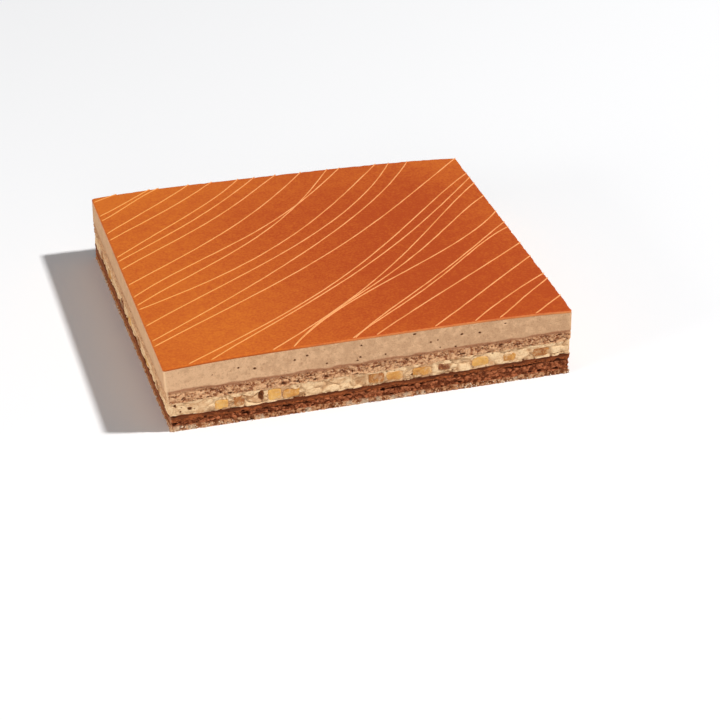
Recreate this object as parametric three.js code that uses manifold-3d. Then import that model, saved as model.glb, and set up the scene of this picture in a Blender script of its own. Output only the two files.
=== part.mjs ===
// A pear and caramel entremet: a rectangular layer cake trimmed on all four sides, with a
// caramel glaze and fine drizzled strands on top.
// Millimetres. +Z is up, +X runs along the front side, +Y from the front to the back.
//
// Every layer is first laid out on a true rectangle. driftCorners() then moves the four
// corners by the few millimetres that the knife wandered, foot and top apart.

import * as THREE from 'three';
import { mergeVertices } from 'three/addons/utils/BufferGeometryUtils.js';
import Module from 'manifold-3d';

const wasm = await Module();
wasm.setup();

// ---------------------------------------------------------------- driving dimensions

const WIDTH = 264;
const DEPTH = 242;
const CORNER_RADIUS = 2;
const CORNER_SEGMENTS = 3;
const GAP = 0.3;

// How far each corner lies from the true rectangle, in X and Y, at the foot and at the top.
const CORNER_DRIFT = {
  frontLeft: { foot: [2.6, -2.0], top: [-0.5, -2.3] },
  frontRight: { foot: [1.5, -0.5], top: [1.5, 0.5] },
  backRight: { foot: [0.4, -1.6], top: [0.6, -2.0] },
  backLeft: { foot: [0.0, 2.5], top: [0.4, 3.4] },
};

// The joint between two layers: its height over the middle of the cake, and how much it
// climbs for each millimetre towards +X.
const JOINTS = {
  foot: { height: 0, climb: 0 },
  overCrumb: { height: 3.4, climb: 0 },
  overCocoa: { height: 8.0, climb: 0.02 },
  overChocolate: { height: 12.1, climb: 0.017 },
  overCream: { height: 22.0, climb: 0.016 },
  overSponge: { height: 29.9, climb: 0.01 },
};

// The top is crowned: full height over the middle, falling away to the left and right ends.
const TOP_HEIGHT = 47.8;
const CROWN_FALL = 2.6;
const CROWN_POWER = 4;
const CROWN_STRIPS = 14;
const GLAZE_THICKNESS = 1.6;

// The cut side of each layer: the spacing and the depth of its crumb, how far its middle
// lies inside the plan, how much it draws in towards its top, and in how many rings.
const SIDES = {
  base: { pitch: 5.2, crumb: 0.45, inset: 0.2, drawIn: 0.35, rings: 1 },
  cocoa: { pitch: 5.2, crumb: 0.45, inset: 0.7, drawIn: 0, rings: 2 },
  chocolate: { pitch: 0, crumb: 0, inset: 0.4, drawIn: 0, rings: 1 },
  cream: { pitch: 8, crumb: 0.3, inset: 0.3, drawIn: 0, rings: 2 },
  sponge: { pitch: 5.2, crumb: 0.35, inset: 0.4, drawIn: 0, rings: 2 },
};

// Drizzled strands: [start, end, bow, swing, curl]. A start is measured from the back left
// corner down the left side and on along the front. An end is measured from the same corner
// along the back and on down the right side. The bow is the sideways belly of the strand, the
// swing leans it first to one side and then to the other, and the curl bends both its ends.
const STRANDS = [
  [6.4, 18, 0, 0, 0],
  [28.6, 41.5, -0.7, -0.3, 0],
  [35.8, 47.9, 0.3, -0.7, 0],
  [55.5, 69, -1.6, 0.3, 0],
  [65.7, 85.7, -3.2, 0.2, 0.3],
  [91.2, 104.5, -4.5, 0.8, -0.1],
  [97.1, 116.5, -6.1, 0, 0.3],
  [108.6, 131.7, -7, 0, 0.8],
  [130.8, 149.9, -10.4, 0, 0.3],
  [147.8, 178.2, -11.9, 1.8, 1.4],
  [159.1, 169, -16, 1.1, 1.1],
  [164.7, 204.6, -20.6, -2, 0.3],
  [187, 214.3, -19.2, 2.5, 0.1],
  [206.4, 228.2, -17.6, 1.2, -0.8],
  [213.3, 262.7, -17.6, -0.3, 0.9],
  [258.3, 289.9, -17.5, -2.5, 1.2],
  [272.2, 296.7, -14.9, 0.7, 0.7],
  [310.7, 306.7, -11.4, -1.8, 0.7],
  [324.4, 328.5, -4.6, 1.8, 2.8],
  [324.2, 354, -1.4, 5.2, 0.1],
  [363.2, 371.9, -2.5, 1, 0.8],
  [361.8, 380, -2.9, -0.9, 1.5],
  [377.2, 404.6, -1.2, 0.7, 0],
  [414.8, 425.1, -1, -0.1, 0],
  [441.2, 451.5, 1.1, 0.1, 0.1],
  [457.5, 458.1, -0.1, 0, -0.3],
  [481.2, 482.8, -0.1, 0, -0.1],
];
const STRAND_WIDTH = 1.0;
const STRAND_RISE = 0.45;
const STRAND_SUNK = 0.25;
const STRAND_SHOULDER = 0.65;
const STRAND_STEP = 24;
const STRAND_END_MARGIN = 1.6;
const SWING_PEAK = 0.385;
const CURL_PEAK = 0.25;

// Diced pear cut through by the knife. Front: [place along X, lowest Z, width, height].
const FRONT_DICE = [
  [-98, 11.3, 7.2, 6.4],
  [-86.5, 12.0, 5.6, 6.4],
  [-64, 12.0, 8.4, 8.2],
  [-53, 12.4, 10.2, 6.2],
  [2, 13.3, 10.8, 7.6],
  [14, 13.6, 10.2, 6.4],
  [32, 14.2, 13.0, 6.2],
  [46.5, 15.4, 8.4, 5.4],
  [71, 14.6, 9.6, 6.8],
  [90, 14.8, 8.0, 6.2],
  [112, 15.6, 10.4, 5.8],
];
// The other three sides: how many dice, spread evenly and then shifted by a seeded draw.
const SIDE_DICE = { left: 7, back: 9, right: 8 };
const DICE_SEED = 7;
const DICE_WIDTH = [6.5, 11.5];
const DICE_HEIGHT = [5.4, 7.4];
const DICE_REACH = 9;
const DICE_SKEW = 1.0;
const DICE_TAPER = 0.65;
const DICE_CLEARANCE = 1.1;
const DICE_SPACE = 4;

const FINISHES = {
  glaze: { color: 0xc9612a, roughness: 0.3 },
  mousse: { color: 0xd2a780, roughness: 0.75 },
  sponge: { color: 0xb58666, roughness: 0.85 },
  cream: { color: 0xe3c093, roughness: 0.6 },
  pear: { color: 0xc98a48, roughness: 0.4 },
  chocolate: { color: 0x743c22, roughness: 0.55 },
  cocoa: { color: 0x8a4a2e, roughness: 0.9 },
  base: { color: 0xd2b59a, roughness: 0.95 },
};

// ---------------------------------------------------------------- small helpers

const lerp = THREE.MathUtils.lerp;

const jointAt = (joint, x) => joint.height + joint.climb * x;

const crownAt = (x) => TOP_HEIGHT - CROWN_FALL * Math.abs(x / (WIDTH / 2)) ** CROWN_POWER;

// A number from -1 to 1 that depends only on the place, so that shared vertices stay shared.
function roughness(x, y, z) {
  const scrambled = Math.sin(x * 12.9898 + y * 78.233 + z * 37.719) * 43758.5453;
  return 2 * (scrambled - Math.floor(scrambled)) - 1;
}

// A linear congruential generator: the same draws from 0 to 1 every time.
function seededDraws(seed) {
  let state = seed >>> 0;
  return () => {
    state = (Math.imul(state, 1664525) + 1013904223) >>> 0;
    return state / 2 ** 32;
  };
}

// Moves every vertex of a geometry to move(x, y, z).
function reshape(geometry, move) {
  const places = geometry.getAttribute('position');
  for (let i = 0; i < places.count; i += 1) {
    const [x, y, z] = move(places.getX(i), places.getY(i), places.getZ(i));
    places.setXYZ(i, x, y, z);
  }
  return geometry;
}

// The knife's wander: the corner drifts, blended over the plan and over the height.
function driftCorners(geometry) {
  return reshape(geometry, (x, y, z) => {
    const across = x / WIDTH + 0.5;
    const along = y / DEPTH + 0.5;
    const up = z / TOP_HEIGHT;
    const shift = [0, 1].map((axis) => {
      const at = (corner) => lerp(corner.foot[axis], corner.top[axis], up);
      const front = lerp(at(CORNER_DRIFT.frontLeft), at(CORNER_DRIFT.frontRight), across);
      const back = lerp(at(CORNER_DRIFT.backLeft), at(CORNER_DRIFT.backRight), across);
      return lerp(front, back, along);
    });
    return [x + shift[0], y + shift[1], z];
  });
}

function toSolid(geometry) {
  const bare = geometry.clone();
  bare.deleteAttribute('normal');
  bare.deleteAttribute('uv');
  const merged = mergeVertices(bare);
  return new wasm.Manifold(new wasm.Mesh({
    numProp: 3,
    vertProperties: new Float32Array(merged.getAttribute('position').array),
    triVerts: new Uint32Array(merged.index.array),
  }));
}

function toGeometry(solid) {
  const { vertProperties, triVerts } = solid.getMesh();
  const geometry = new THREE.BufferGeometry();
  geometry.setAttribute('position', new THREE.BufferAttribute(new Float32Array(vertProperties), 3));
  geometry.setIndex(new THREE.BufferAttribute(new Uint32Array(triVerts), 1));
  return geometry;
}

// ---------------------------------------------------------------- plan and layers

// The plan of the cake: the true rectangle with softly rounded corners.
function planShape() {
  const halfWidth = WIDTH / 2;
  const halfDepth = DEPTH / 2;
  const reach = { x: halfWidth - CORNER_RADIUS, y: halfDepth - CORNER_RADIUS };
  const shape = new THREE.Shape();
  shape.moveTo(-reach.x, -halfDepth);
  shape.lineTo(reach.x, -halfDepth);
  shape.absarc(reach.x, -reach.y, CORNER_RADIUS, -Math.PI / 2, 0, false);
  shape.lineTo(halfWidth, reach.y);
  shape.absarc(reach.x, reach.y, CORNER_RADIUS, 0, Math.PI / 2, false);
  shape.lineTo(-reach.x, halfDepth);
  shape.absarc(-reach.x, reach.y, CORNER_RADIUS, Math.PI / 2, Math.PI, false);
  shape.lineTo(-halfWidth, -reach.y);
  shape.absarc(-reach.x, -reach.y, CORNER_RADIUS, Math.PI, 1.5 * Math.PI, false);
  return shape;
}

// The plan's points: the few that its shape needs, or at a pitch that carries crumb relief.
// The outline ends where it starts, so one of those two points is dropped.
function planPoints(pitch) {
  const outline = planShape();
  const points = pitch
    ? outline.getSpacedPoints(Math.round(outline.getLength() / pitch))
    : outline.getPoints(CORNER_SEGMENTS);
  return points.slice(1);
}

// The way out of the cake at a point of its side.
function outward(x, y) {
  const pastX = Math.max(0, Math.abs(x) - (WIDTH / 2 - CORNER_RADIUS));
  const pastY = Math.max(0, Math.abs(y) - (DEPTH / 2 - CORNER_RADIUS));
  return new THREE.Vector2(Math.sign(x) * pastX, Math.sign(y) * pastY).normalize();
}

// A band from Z 0 to Z 1 over an outline, in rings of points. Its foot and its top are fans
// of even triangles round the middle, because long slivers make a poor solid.
function bandGeometry(outline, rings) {
  const count = outline.length;
  const places = [];
  const faces = [];
  for (let ring = 0; ring <= rings; ring += 1) {
    outline.forEach((point) => places.push(point.x, point.y, ring / rings));
  }
  places.push(0, 0, 0, 0, 0, 1);
  const footMiddle = (rings + 1) * count;
  const topMiddle = footMiddle + 1;
  for (let here = 0; here < count; here += 1) {
    const next = (here + 1) % count;
    const top = rings * count;
    faces.push(footMiddle, next, here, topMiddle, top + here, top + next);
    for (let below = 0; below < top; below += count) {
      const above = below + count;
      faces.push(below + here, below + next, above + next);
      faces.push(below + here, above + next, above + here);
    }
  }
  const geometry = new THREE.BufferGeometry();
  geometry.setAttribute('position', new THREE.Float32BufferAttribute(places, 3));
  geometry.setIndex(faces);
  return geometry;
}

// One layer between two joints, with half a gap left at each joint that meets a neighbour.
function layerGeometry(lower, upper, side) {
  const geometry = bandGeometry(planPoints(side.pitch), side.rings);
  reshape(geometry, (x, y, share) => {
    const bottom = jointAt(lower, x) + (lower === JOINTS.foot ? 0 : GAP / 2);
    const top = jointAt(upper, x) - GAP / 2;
    const standOut = side.crumb * roughness(x, y, share) - side.inset - side.drawIn * share;
    const out = outward(x, y).multiplyScalar(standOut);
    return [x + out.x, y + out.y, lerp(bottom, top, share)];
  });
  return driftCorners(geometry);
}

// A band under the crown, from a lower edge to an upper edge, both given over X. It is
// drawn as the section seen from the front and carried through the cake from front to back.
function crownedSolid(lowerEdge, upperEdge) {
  const halfWidth = WIDTH / 2;
  const stops = Array.from({ length: CROWN_STRIPS + 1 }, (_, i) => (
    halfWidth * Math.sin((i / CROWN_STRIPS - 0.5) * Math.PI)
  ));
  const section = new THREE.Shape([
    ...stops.map((x) => new THREE.Vector2(x, lowerEdge(x))),
    ...stops.slice().reverse().map((x) => new THREE.Vector2(x, upperEdge(x))),
  ]);
  const band = new THREE.ExtrudeGeometry(section, { depth: DEPTH, bevelEnabled: false });
  band.rotateX(Math.PI / 2);
  band.translate(0, DEPTH / 2, 0);
  const plan = new THREE.ExtrudeGeometry(planShape(), {
    depth: TOP_HEIGHT * 2, bevelEnabled: false, curveSegments: CORNER_SEGMENTS,
  });
  return toSolid(band).intersect(toSolid(plan));
}

// ---------------------------------------------------------------- drizzled strands

// Keeps a strand's end just inside the edge of the top.
function insideEdge(x, y) {
  const limit = new THREE.Vector2(WIDTH / 2 - STRAND_END_MARGIN, DEPTH / 2 - STRAND_END_MARGIN);
  return new THREE.Vector2(x, y).clamp(limit.clone().negate(), limit);
}

// Where a strand starts: down the left side, then along the front.
function startPlace(distance) {
  const alongFront = Math.max(0, distance - DEPTH);
  return insideEdge(-WIDTH / 2 + alongFront, DEPTH / 2 - distance + alongFront);
}

// Where a strand ends: along the back, then down the right side.
function endPlace(distance) {
  const downRight = Math.max(0, distance - WIDTH);
  return insideEdge(-WIDTH / 2 + distance - downRight, DEPTH / 2 - downRight);
}

// The middle line of a strand: a straight run with its three bends, laid on the crown.
class StrandPath extends THREE.Curve {
  constructor([start, end, bow, swing, curl]) {
    super();
    this.from = startPlace(start);
    this.to = endPlace(end);
    this.bow = bow;
    this.swing = swing;
    this.curl = curl;
  }

  getPoint(share, target = new THREE.Vector3()) {
    const run = this.to.clone().sub(this.from);
    const sideways = new THREE.Vector2(-run.y, run.x).normalize();
    const belly = 4 * share * (1 - share);
    const lean = belly * (1 - 2 * share) / SWING_PEAK;
    const hook = belly * (1 - 2 * share) ** 2 / CURL_PEAK;
    const flat = this.from.clone()
      .addScaledVector(run, share)
      .addScaledVector(sideways, this.bow * belly + this.swing * lean + this.curl * hook);
    return target.set(flat.x, flat.y, crownAt(flat.x));
  }
}

// A strand's section: the first axis points down into the glaze, the second lies across.
function strandSection() {
  const half = STRAND_WIDTH / 2;
  return new THREE.Shape([
    new THREE.Vector2(STRAND_SUNK, -half),
    new THREE.Vector2(STRAND_SUNK, half),
    new THREE.Vector2(-STRAND_RISE * STRAND_SHOULDER, half * STRAND_SHOULDER),
    new THREE.Vector2(-STRAND_RISE, 0),
    new THREE.Vector2(-STRAND_RISE * STRAND_SHOULDER, -half * STRAND_SHOULDER),
  ]);
}

function strandSolid(row) {
  const path = new StrandPath(row);
  const steps = Math.max(1, Math.round(path.getLength() / STRAND_STEP));
  return toSolid(new THREE.ExtrudeGeometry(strandSection(), { steps, extrudePath: path }));
}

// ---------------------------------------------------------------- diced pear

// One die, laid out at the front and then turned to its own side.
function dieGeometry({ side, place, bottom, width, height }, grow = 0) {
  const geometry = new THREE.BoxGeometry(
    width + 2 * grow, 2 * (DICE_REACH + grow), height + 2 * grow,
  );
  const turn = { front: 0, right: Math.PI / 2, back: Math.PI, left: -Math.PI / 2 }[side];
  const distance = (side === 'front' || side === 'back' ? DEPTH : WIDTH) / 2;
  reshape(geometry, (x, y, z) => {
    const [cornerX, cornerY, cornerZ] = [Math.sign(x), Math.sign(y), Math.sign(z)];
    const skew = DICE_SKEW * roughness(cornerX + place, cornerY, cornerZ + bottom);
    const taper = DICE_TAPER * Math.abs(roughness(cornerZ + place, cornerY + width, cornerX));
    return [x + skew, y, z - cornerZ * taper];
  });
  geometry.translate(place, -distance, bottom + height / 2);
  geometry.rotateZ(turn);
  return driftCorners(geometry);
}

// The dice of a side that is spread by rule, with seeded shifts in place, size and height.
function spreadDice(side, count, draw) {
  const length = (side === 'back' ? WIDTH : DEPTH) - 2 * DICE_REACH;
  const spacing = length / count;
  return Array.from({ length: count }, (_, i) => {
    const width = lerp(...DICE_WIDTH, draw());
    const height = lerp(...DICE_HEIGHT, draw());
    const shift = (draw() - 0.5) * (spacing - width - DICE_SPACE);
    const place = spacing * (i + 0.5) - length / 2 + shift;
    const x = { left: -WIDTH / 2, back: -place, right: WIDTH / 2 }[side];
    const lowest = jointAt(JOINTS.overChocolate, x) + DICE_CLEARANCE;
    const highest = jointAt(JOINTS.overCream, x) - DICE_CLEARANCE - height;
    return { side, place, width, height, bottom: lerp(lowest, highest, draw()) };
  });
}

function allDice() {
  const draw = seededDraws(DICE_SEED);
  const front = FRONT_DICE.map(([place, bottom, width, height]) => (
    { side: 'front', place, bottom, width, height }
  ));
  return front.concat(
    ...Object.entries(SIDE_DICE).map(([side, count]) => spreadDice(side, count, draw)),
  );
}

// ---------------------------------------------------------------- the cake's pieces

const cake = new THREE.Group();

function addPiece(name, geometry, finish) {
  const mesh = new THREE.Mesh(geometry, new THREE.MeshStandardMaterial({ metalness: 0, ...finish }));
  mesh.name = name;
  cake.add(mesh);
}

// The pale crumb foot, ragged all round and a little wider at the floor.
addPiece('crumb_base', layerGeometry(JOINTS.foot, JOINTS.overCrumb, SIDES.base), FINISHES.base);

// The coarse cocoa layer: the roughest of the cut sides.
addPiece(
  'cocoa_crunch',
  layerGeometry(JOINTS.overCrumb, JOINTS.overCocoa, SIDES.cocoa),
  FINISHES.cocoa,
);

// The smooth chocolate layer, cut clean.
addPiece(
  'chocolate_layer',
  layerGeometry(JOINTS.overCocoa, JOINTS.overChocolate, SIDES.chocolate),
  FINISHES.chocolate,
);

// The pear cream, pocketed where the dice come to the side.
const cream = toSolid(layerGeometry(JOINTS.overChocolate, JOINTS.overCream, SIDES.cream));
const dice = allDice();
const pocketedCream = dice
  .map((die) => toSolid(dieGeometry(die, GAP)))
  .reduce((left, pocket) => left.subtract(pocket), cream);
addPiece('pear_cream', toGeometry(pocketedCream), FINISHES.cream);

// The dice, trimmed flush with the cut side of the cream.
dice.forEach((die, i) => {
  const number = String(i + 1).padStart(2, '0');
  const trimmed = toSolid(dieGeometry(die)).intersect(cream);
  addPiece(`pear_die_${number}_${die.side}`, toGeometry(trimmed), FINISHES.pear);
});

// The soaked almond sponge.
addPiece(
  'almond_sponge',
  layerGeometry(JOINTS.overCream, JOINTS.overSponge, SIDES.sponge),
  FINISHES.sponge,
);

// The caramel mousse, up to the crowned joint under the glaze.
const mousse = crownedSolid(
  (x) => jointAt(JOINTS.overSponge, x) + GAP / 2,
  (x) => crownAt(x) - GLAZE_THICKNESS - GAP,
);
addPiece('caramel_mousse', driftCorners(toGeometry(mousse)), FINISHES.mousse);

// The caramel glaze with the drizzled strands set on it.
const glaze = crownedSolid((x) => crownAt(x) - GLAZE_THICKNESS, crownAt);
const drizzled = STRANDS.map(strandSolid).reduce((whole, strand) => whole.add(strand), glaze);
addPiece('caramel_glaze', driftCorners(toGeometry(drizzled)), FINISHES.glaze);

// The origin is the middle of the footprint, on the floor.
const bounds = new THREE.Box3().setFromObject(cake);
const middle = bounds.getCenter(new THREE.Vector3());
cake.position.set(-middle.x, -middle.y, -bounds.min.z);

export default cake;
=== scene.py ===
"""The looks of a pear and caramel entremet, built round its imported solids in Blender 4.5.

The cake is worked out in millimetres on a true rectangle, as its solids are, and is then moved
to where the knife left the corners. Only a finished mesh is in metres. X runs along the front
side, Y from the front to the back, and Z up from the floor.
"""

import logging
import math
from dataclasses import dataclass
from enum import Enum
from typing import ClassVar

import bpy
import numpy as np
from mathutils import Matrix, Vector


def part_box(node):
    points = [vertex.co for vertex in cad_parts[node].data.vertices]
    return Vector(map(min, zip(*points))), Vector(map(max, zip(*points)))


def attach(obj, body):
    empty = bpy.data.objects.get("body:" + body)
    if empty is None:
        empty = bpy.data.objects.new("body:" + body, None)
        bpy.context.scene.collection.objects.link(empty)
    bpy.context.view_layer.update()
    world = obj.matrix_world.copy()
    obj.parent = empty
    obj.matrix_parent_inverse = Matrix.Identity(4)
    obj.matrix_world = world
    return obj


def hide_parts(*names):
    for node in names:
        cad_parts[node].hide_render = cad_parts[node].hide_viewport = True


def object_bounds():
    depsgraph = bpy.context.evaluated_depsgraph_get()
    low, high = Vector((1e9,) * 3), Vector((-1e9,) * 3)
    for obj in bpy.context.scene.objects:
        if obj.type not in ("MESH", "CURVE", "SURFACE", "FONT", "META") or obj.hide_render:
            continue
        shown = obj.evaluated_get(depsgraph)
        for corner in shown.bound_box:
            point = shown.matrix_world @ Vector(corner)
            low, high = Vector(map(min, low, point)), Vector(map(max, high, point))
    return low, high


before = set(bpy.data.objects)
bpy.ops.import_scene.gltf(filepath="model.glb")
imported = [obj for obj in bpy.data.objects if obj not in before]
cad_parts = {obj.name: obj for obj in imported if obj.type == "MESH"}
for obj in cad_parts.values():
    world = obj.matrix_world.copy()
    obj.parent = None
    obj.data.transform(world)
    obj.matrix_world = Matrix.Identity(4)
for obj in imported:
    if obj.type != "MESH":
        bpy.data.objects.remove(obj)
cad_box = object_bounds()

logger = logging.getLogger("entremet")

Array = np.ndarray
Tones = dict[str, Array]
Tree = bpy.types.NodeTree
Socket = bpy.types.NodeSocket
Piece = bpy.types.Object

MM = 0.001
BODY = "root"
CUBE_CORNERS = [np.array([i, j, k]) for i in (0, 1) for j in (0, 1) for k in (0, 1)]
NEAR_CUBES = [np.array([i, j, k]) - 1 for i in range(3) for j in range(3) for k in range(3)]


class Corner(Enum):
    """The corners of the cake, each as (0 left or 1 right, 0 front or 1 back)."""

    FRONT_LEFT = (0, 0)
    FRONT_RIGHT = (1, 0)
    BACK_RIGHT = (1, 1)
    BACK_LEFT = (0, 1)


class Side(Enum):
    """The cut sides of the cake, each as its way out."""

    FRONT = (0.0, -1.0)
    RIGHT = (1.0, 0.0)
    BACK = (0.0, 1.0)
    LEFT = (-1.0, 0.0)


class PearTone(Enum):
    """How far a die of pear took the caramel, from 0 pale gold to 1 dark brown."""

    GOLD = 0.08
    AMBER = 0.36
    BROWN = 0.66
    DARK = 0.95


# How far each corner lies from the true rectangle in X and Y, at the foot and at the top.
CORNER_DRIFT = {
    Corner.FRONT_LEFT: ((2.6, -2.0), (-0.5, -2.3)),
    Corner.FRONT_RIGHT: ((1.5, -0.5), (1.5, 0.5)),
    Corner.BACK_RIGHT: ((0.4, -1.6), (0.6, -2.0)),
    Corner.BACK_LEFT: ((0.0, 2.5), (0.4, 3.4)),
}


# ------------------------------------------------------------------ numbers and noise


def blend(low: Array | float, high: Array | float, share: Array | float) -> Array | float:
    """The value that lies this share of the way from low to high."""
    return low + (high - low) * share


def ease(values: Array, start: float, end: float) -> Array:
    """A smooth step.

    Formula: t = (value - start) / (end - start), held from 0 to 1, then 3t^2 - 2t^3.

    Args:
        values: Where each point stands.
        start: The value that gives 0.
        end: The value that gives 1.

    Returns:
        Shares from 0 to 1, of the shape of values.
    """
    t = np.clip((values - start) / (end - start), 0, 1)
    return t * t * (3 - 2 * t)


def turns(count: int) -> Array:
    """Angles at an even pitch once round a circle, from 0."""
    return np.arange(count) / count * 2 * math.pi


def raised(places: Array, height: Array | float) -> Array:
    """Places (..., 2) with a height for each, as points (..., 3)."""
    height = np.broadcast_to(height, places.shape[:-1])
    return np.concatenate([places, height[..., None]], axis=-1)


def unit(ways: Array) -> Array:
    """Flat ways (..., 2), brought to the length 1."""
    return ways / np.hypot(ways[..., 0], ways[..., 1])[..., None]


def scramble(cells: Array, seed: int) -> Array:
    """A random number from 0 to 1 for each whole-number place, the same on each run.

    Formula: the three whole numbers and the seed are each multiplied by a large odd number and
    added, and then the bits are mixed by shifts and one more multiplication.

    Args:
        cells: Whole-number places, (..., 3).
        seed: Which of the many sets of numbers to take.

    Returns:
        The numbers, (...).
    """
    x, y, z = (cells[..., axis].astype(np.int64).astype(np.uint32) for axis in range(3))
    salt = np.uint32(seed * 2246822519 % 2**32)
    mixed = x * np.uint32(374761393) + y * np.uint32(668265263) + z * np.uint32(3266489917) + salt
    mixed = (mixed ^ (mixed >> np.uint32(15))) * np.uint32(2246822519)
    mixed = (mixed ^ (mixed >> np.uint32(13))) * np.uint32(3266489917)
    return (mixed ^ (mixed >> np.uint32(16))) / 2.0**32


def soft_noise(points: Array, size: float, seed: int) -> Array:
    """Smooth random relief from -1 to 1.

    Formula: random numbers stand at the corners of cubes of the given size, and each point
    blends the eight of its own cube, with the weights 3t^2 - 2t^3 along each axis.

    Args:
        points: Places in mm, (..., 3).
        size: The side of a cube in mm.
        seed: Which random numbers.

    Returns:
        The relief, (...).
    """
    scaled = points / size
    corner = np.floor(scaled)
    t = ease(scaled - corner, 0, 1)
    total = np.zeros(points.shape[:-1])
    for offset in CUBE_CORNERS:
        total += np.prod(np.where(offset, t, 1 - t), axis=-1) * scramble(corner + offset, seed)
    return 2 * total - 1


def rough_noise(points: Array, size: float, seed: int, octaves: int = 3) -> Array:
    """Rough random relief from -1 to 1: soft noise plus finer noise of half the size and height."""
    heights = [0.5**octave for octave in range(octaves)]
    layers = [soft_noise(points, size * h, seed + i) * h for i, h in enumerate(heights)]
    return sum(layers) / sum(heights)


def warp(points: Array, size: float, reach: float, seed: int) -> Array:
    """Points moved at random, each axis by soft noise of this size times the reach, in mm."""
    moves = [soft_noise(points, size, seed + axis) for axis in range(3)]
    return points + reach * np.stack(moves, axis=-1)


def bubbles(
    points: Array, cell: float, radii: tuple[float, float], chance: float, seed: int
) -> Array:
    """How deep each point lies in a random bubble, 0 outside and 1 at a bubble's middle.

    Formula: each cube of side cell holds one bubble with the given chance, anywhere in it. The
    depth is the largest 1 - (distance / radius)^2 of the eight cubes nearest to the point, so
    a radius is at most half a cell.

    Args:
        points: Places in mm, (..., 3).
        cell: The side of a cube in mm.
        radii: The smallest and the largest radius in mm.
        chance: The share of cubes that hold a bubble.
        seed: Which random numbers.

    Returns:
        The depths, (...).
    """
    scaled = points / cell
    first = np.floor(scaled - 0.5)
    deepest = np.zeros(points.shape[:-1])
    for offset in CUBE_CORNERS:
        cube = first + offset
        centre = cube + np.stack([scramble(cube, seed + axis) for axis in range(3)], axis=-1)
        radius = blend(*radii, scramble(cube, seed + 3)) / cell
        depth = 1 - ((scaled - centre) ** 2).sum(axis=-1) / radius**2
        deepest = np.maximum(deepest, np.where(scramble(cube, seed + 4) < chance, depth, 0))
    return deepest


def crumble(points: Array, size: float, seed: int) -> tuple[Array, Array]:
    """Splits space into uneven lumps, as curds or crumbs lie packed against each other.

    Formula: each cube of the given size holds one centre, anywhere in it, and a point belongs
    to the nearest of the 27 centres round it. It is half of (distance to the second nearest -
    distance to the nearest) away from its lump's border.

    Args:
        points: Places in mm, (..., 3).
        size: The side of a cube in mm.
        seed: Which random numbers.

    Returns:
        The distances to the border in mm, and a random number from 0 to 1 for each lump.
    """
    scaled = points / size
    home = np.floor(scaled)
    nearest = np.full(points.shape[:-1], np.inf)
    second, pick = nearest.copy(), np.zeros_like(nearest)
    for offset in NEAR_CUBES:
        cube = home + offset
        centre = cube + np.stack([scramble(cube, seed + axis) for axis in range(3)], axis=-1)
        distance = np.linalg.norm(scaled - centre, axis=-1)
        closer = distance < nearest
        second = np.where(closer, nearest, np.minimum(second, distance))
        pick = np.where(closer, scramble(cube, seed + 3), pick)
        nearest = np.minimum(nearest, distance)
    return (second - nearest) * size / 2, pick


# ------------------------------------------------------------------ the plan of the cake


@dataclass(frozen=True)
class Outline:
    """Points round the plan, against the clock: their places and their ways out, (n, 2)."""

    places: Array
    ways_out: Array


@dataclass(frozen=True)
class Plan:
    """The plan, the crown of the top and the knife's wander, in millimetres."""

    width: float = 264.0
    depth: float = 242.0
    corner_radius: float = 2.0
    top_height: float = 47.8
    crown_fall: float = 2.6
    crown_power: float = 4.0
    middle: tuple[float, float] = (0.600, 0.525)

    def crown(self, x: Array) -> Array:
        """The height of the top at X: full in the middle, falling as a power towards the ends."""
        return self.top_height - self.crown_fall * np.abs(x / (self.width / 2)) ** self.crown_power

    def outline(self, pitch: float) -> Outline:
        """Points at an even pitch round the rounded rectangle, from the front left corner.

        Formula: a point is a place on the inner rectangle plus the radius times a way out. On a
        straight run the inner place moves and the way out stands, and on a corner the way out
        turns and the inner place stands.

        Args:
            pitch: About how far apart the points are, in mm.

        Returns:
            The outline.
        """
        inner_x = self.width / 2 - self.corner_radius
        inner_y = self.depth / 2 - self.corner_radius
        turn = self.corner_radius * math.pi / 2
        corners_x = np.array([-1, 1, 1, 1, 1, -1, -1, -1, -1]) * inner_x
        corners_y = np.array([-1, -1, -1, 1, 1, 1, 1, -1, -1]) * inner_y
        angles = np.array([-1, -1, 0, 0, 1, 1, 2, 2, 3]) * math.pi / 2
        runs = [2 * inner_x, turn, 2 * inner_y, turn] * 2
        stops = np.concatenate([[0.0], np.cumsum(runs)])
        count = round(stops[-1] / pitch)
        run = np.arange(count) * stops[-1] / count
        angle = np.interp(run, stops, angles)
        ways_out = np.stack([np.cos(angle), np.sin(angle)], axis=-1)
        inner = np.stack([np.interp(run, stops, corners_x), np.interp(run, stops, corners_y)], -1)
        return Outline(inner + self.corner_radius * ways_out, ways_out)

    def shift(self, points: Array) -> Array:
        """How far the knife's wander moves each point of the true plan.

        Formula: the four corners' drifts, each blended from foot to top by height, weighted by
        the point's share of the width and of the depth, less the middle of the whole cake.

        Args:
            points: Places on the true plan in mm, (..., 3).

        Returns:
            The moves in mm, (..., 3).
        """
        across = points[..., 0] / self.width + 0.5
        along = points[..., 1] / self.depth + 0.5
        up = points[..., 2:] / self.top_height
        moved = np.zeros(points.shape)
        moved[..., :2] = -np.array(self.middle)
        for corner, (foot, top) in CORNER_DRIFT.items():
            right, back = corner.value
            share = (across if right else 1 - across) * (along if back else 1 - along)
            moved[..., :2] += share[..., None] * blend(np.array(foot), np.array(top), up)
        return moved

    def drifted(self, points: Array) -> Array:
        """Points of the true plan, moved to where the knife left them."""
        return points + self.shift(points)

    def straightened(self, points: Array) -> Array:
        """Points of the cake as it stands, moved back to the true plan."""
        return points - self.shift(points - self.shift(points))


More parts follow.
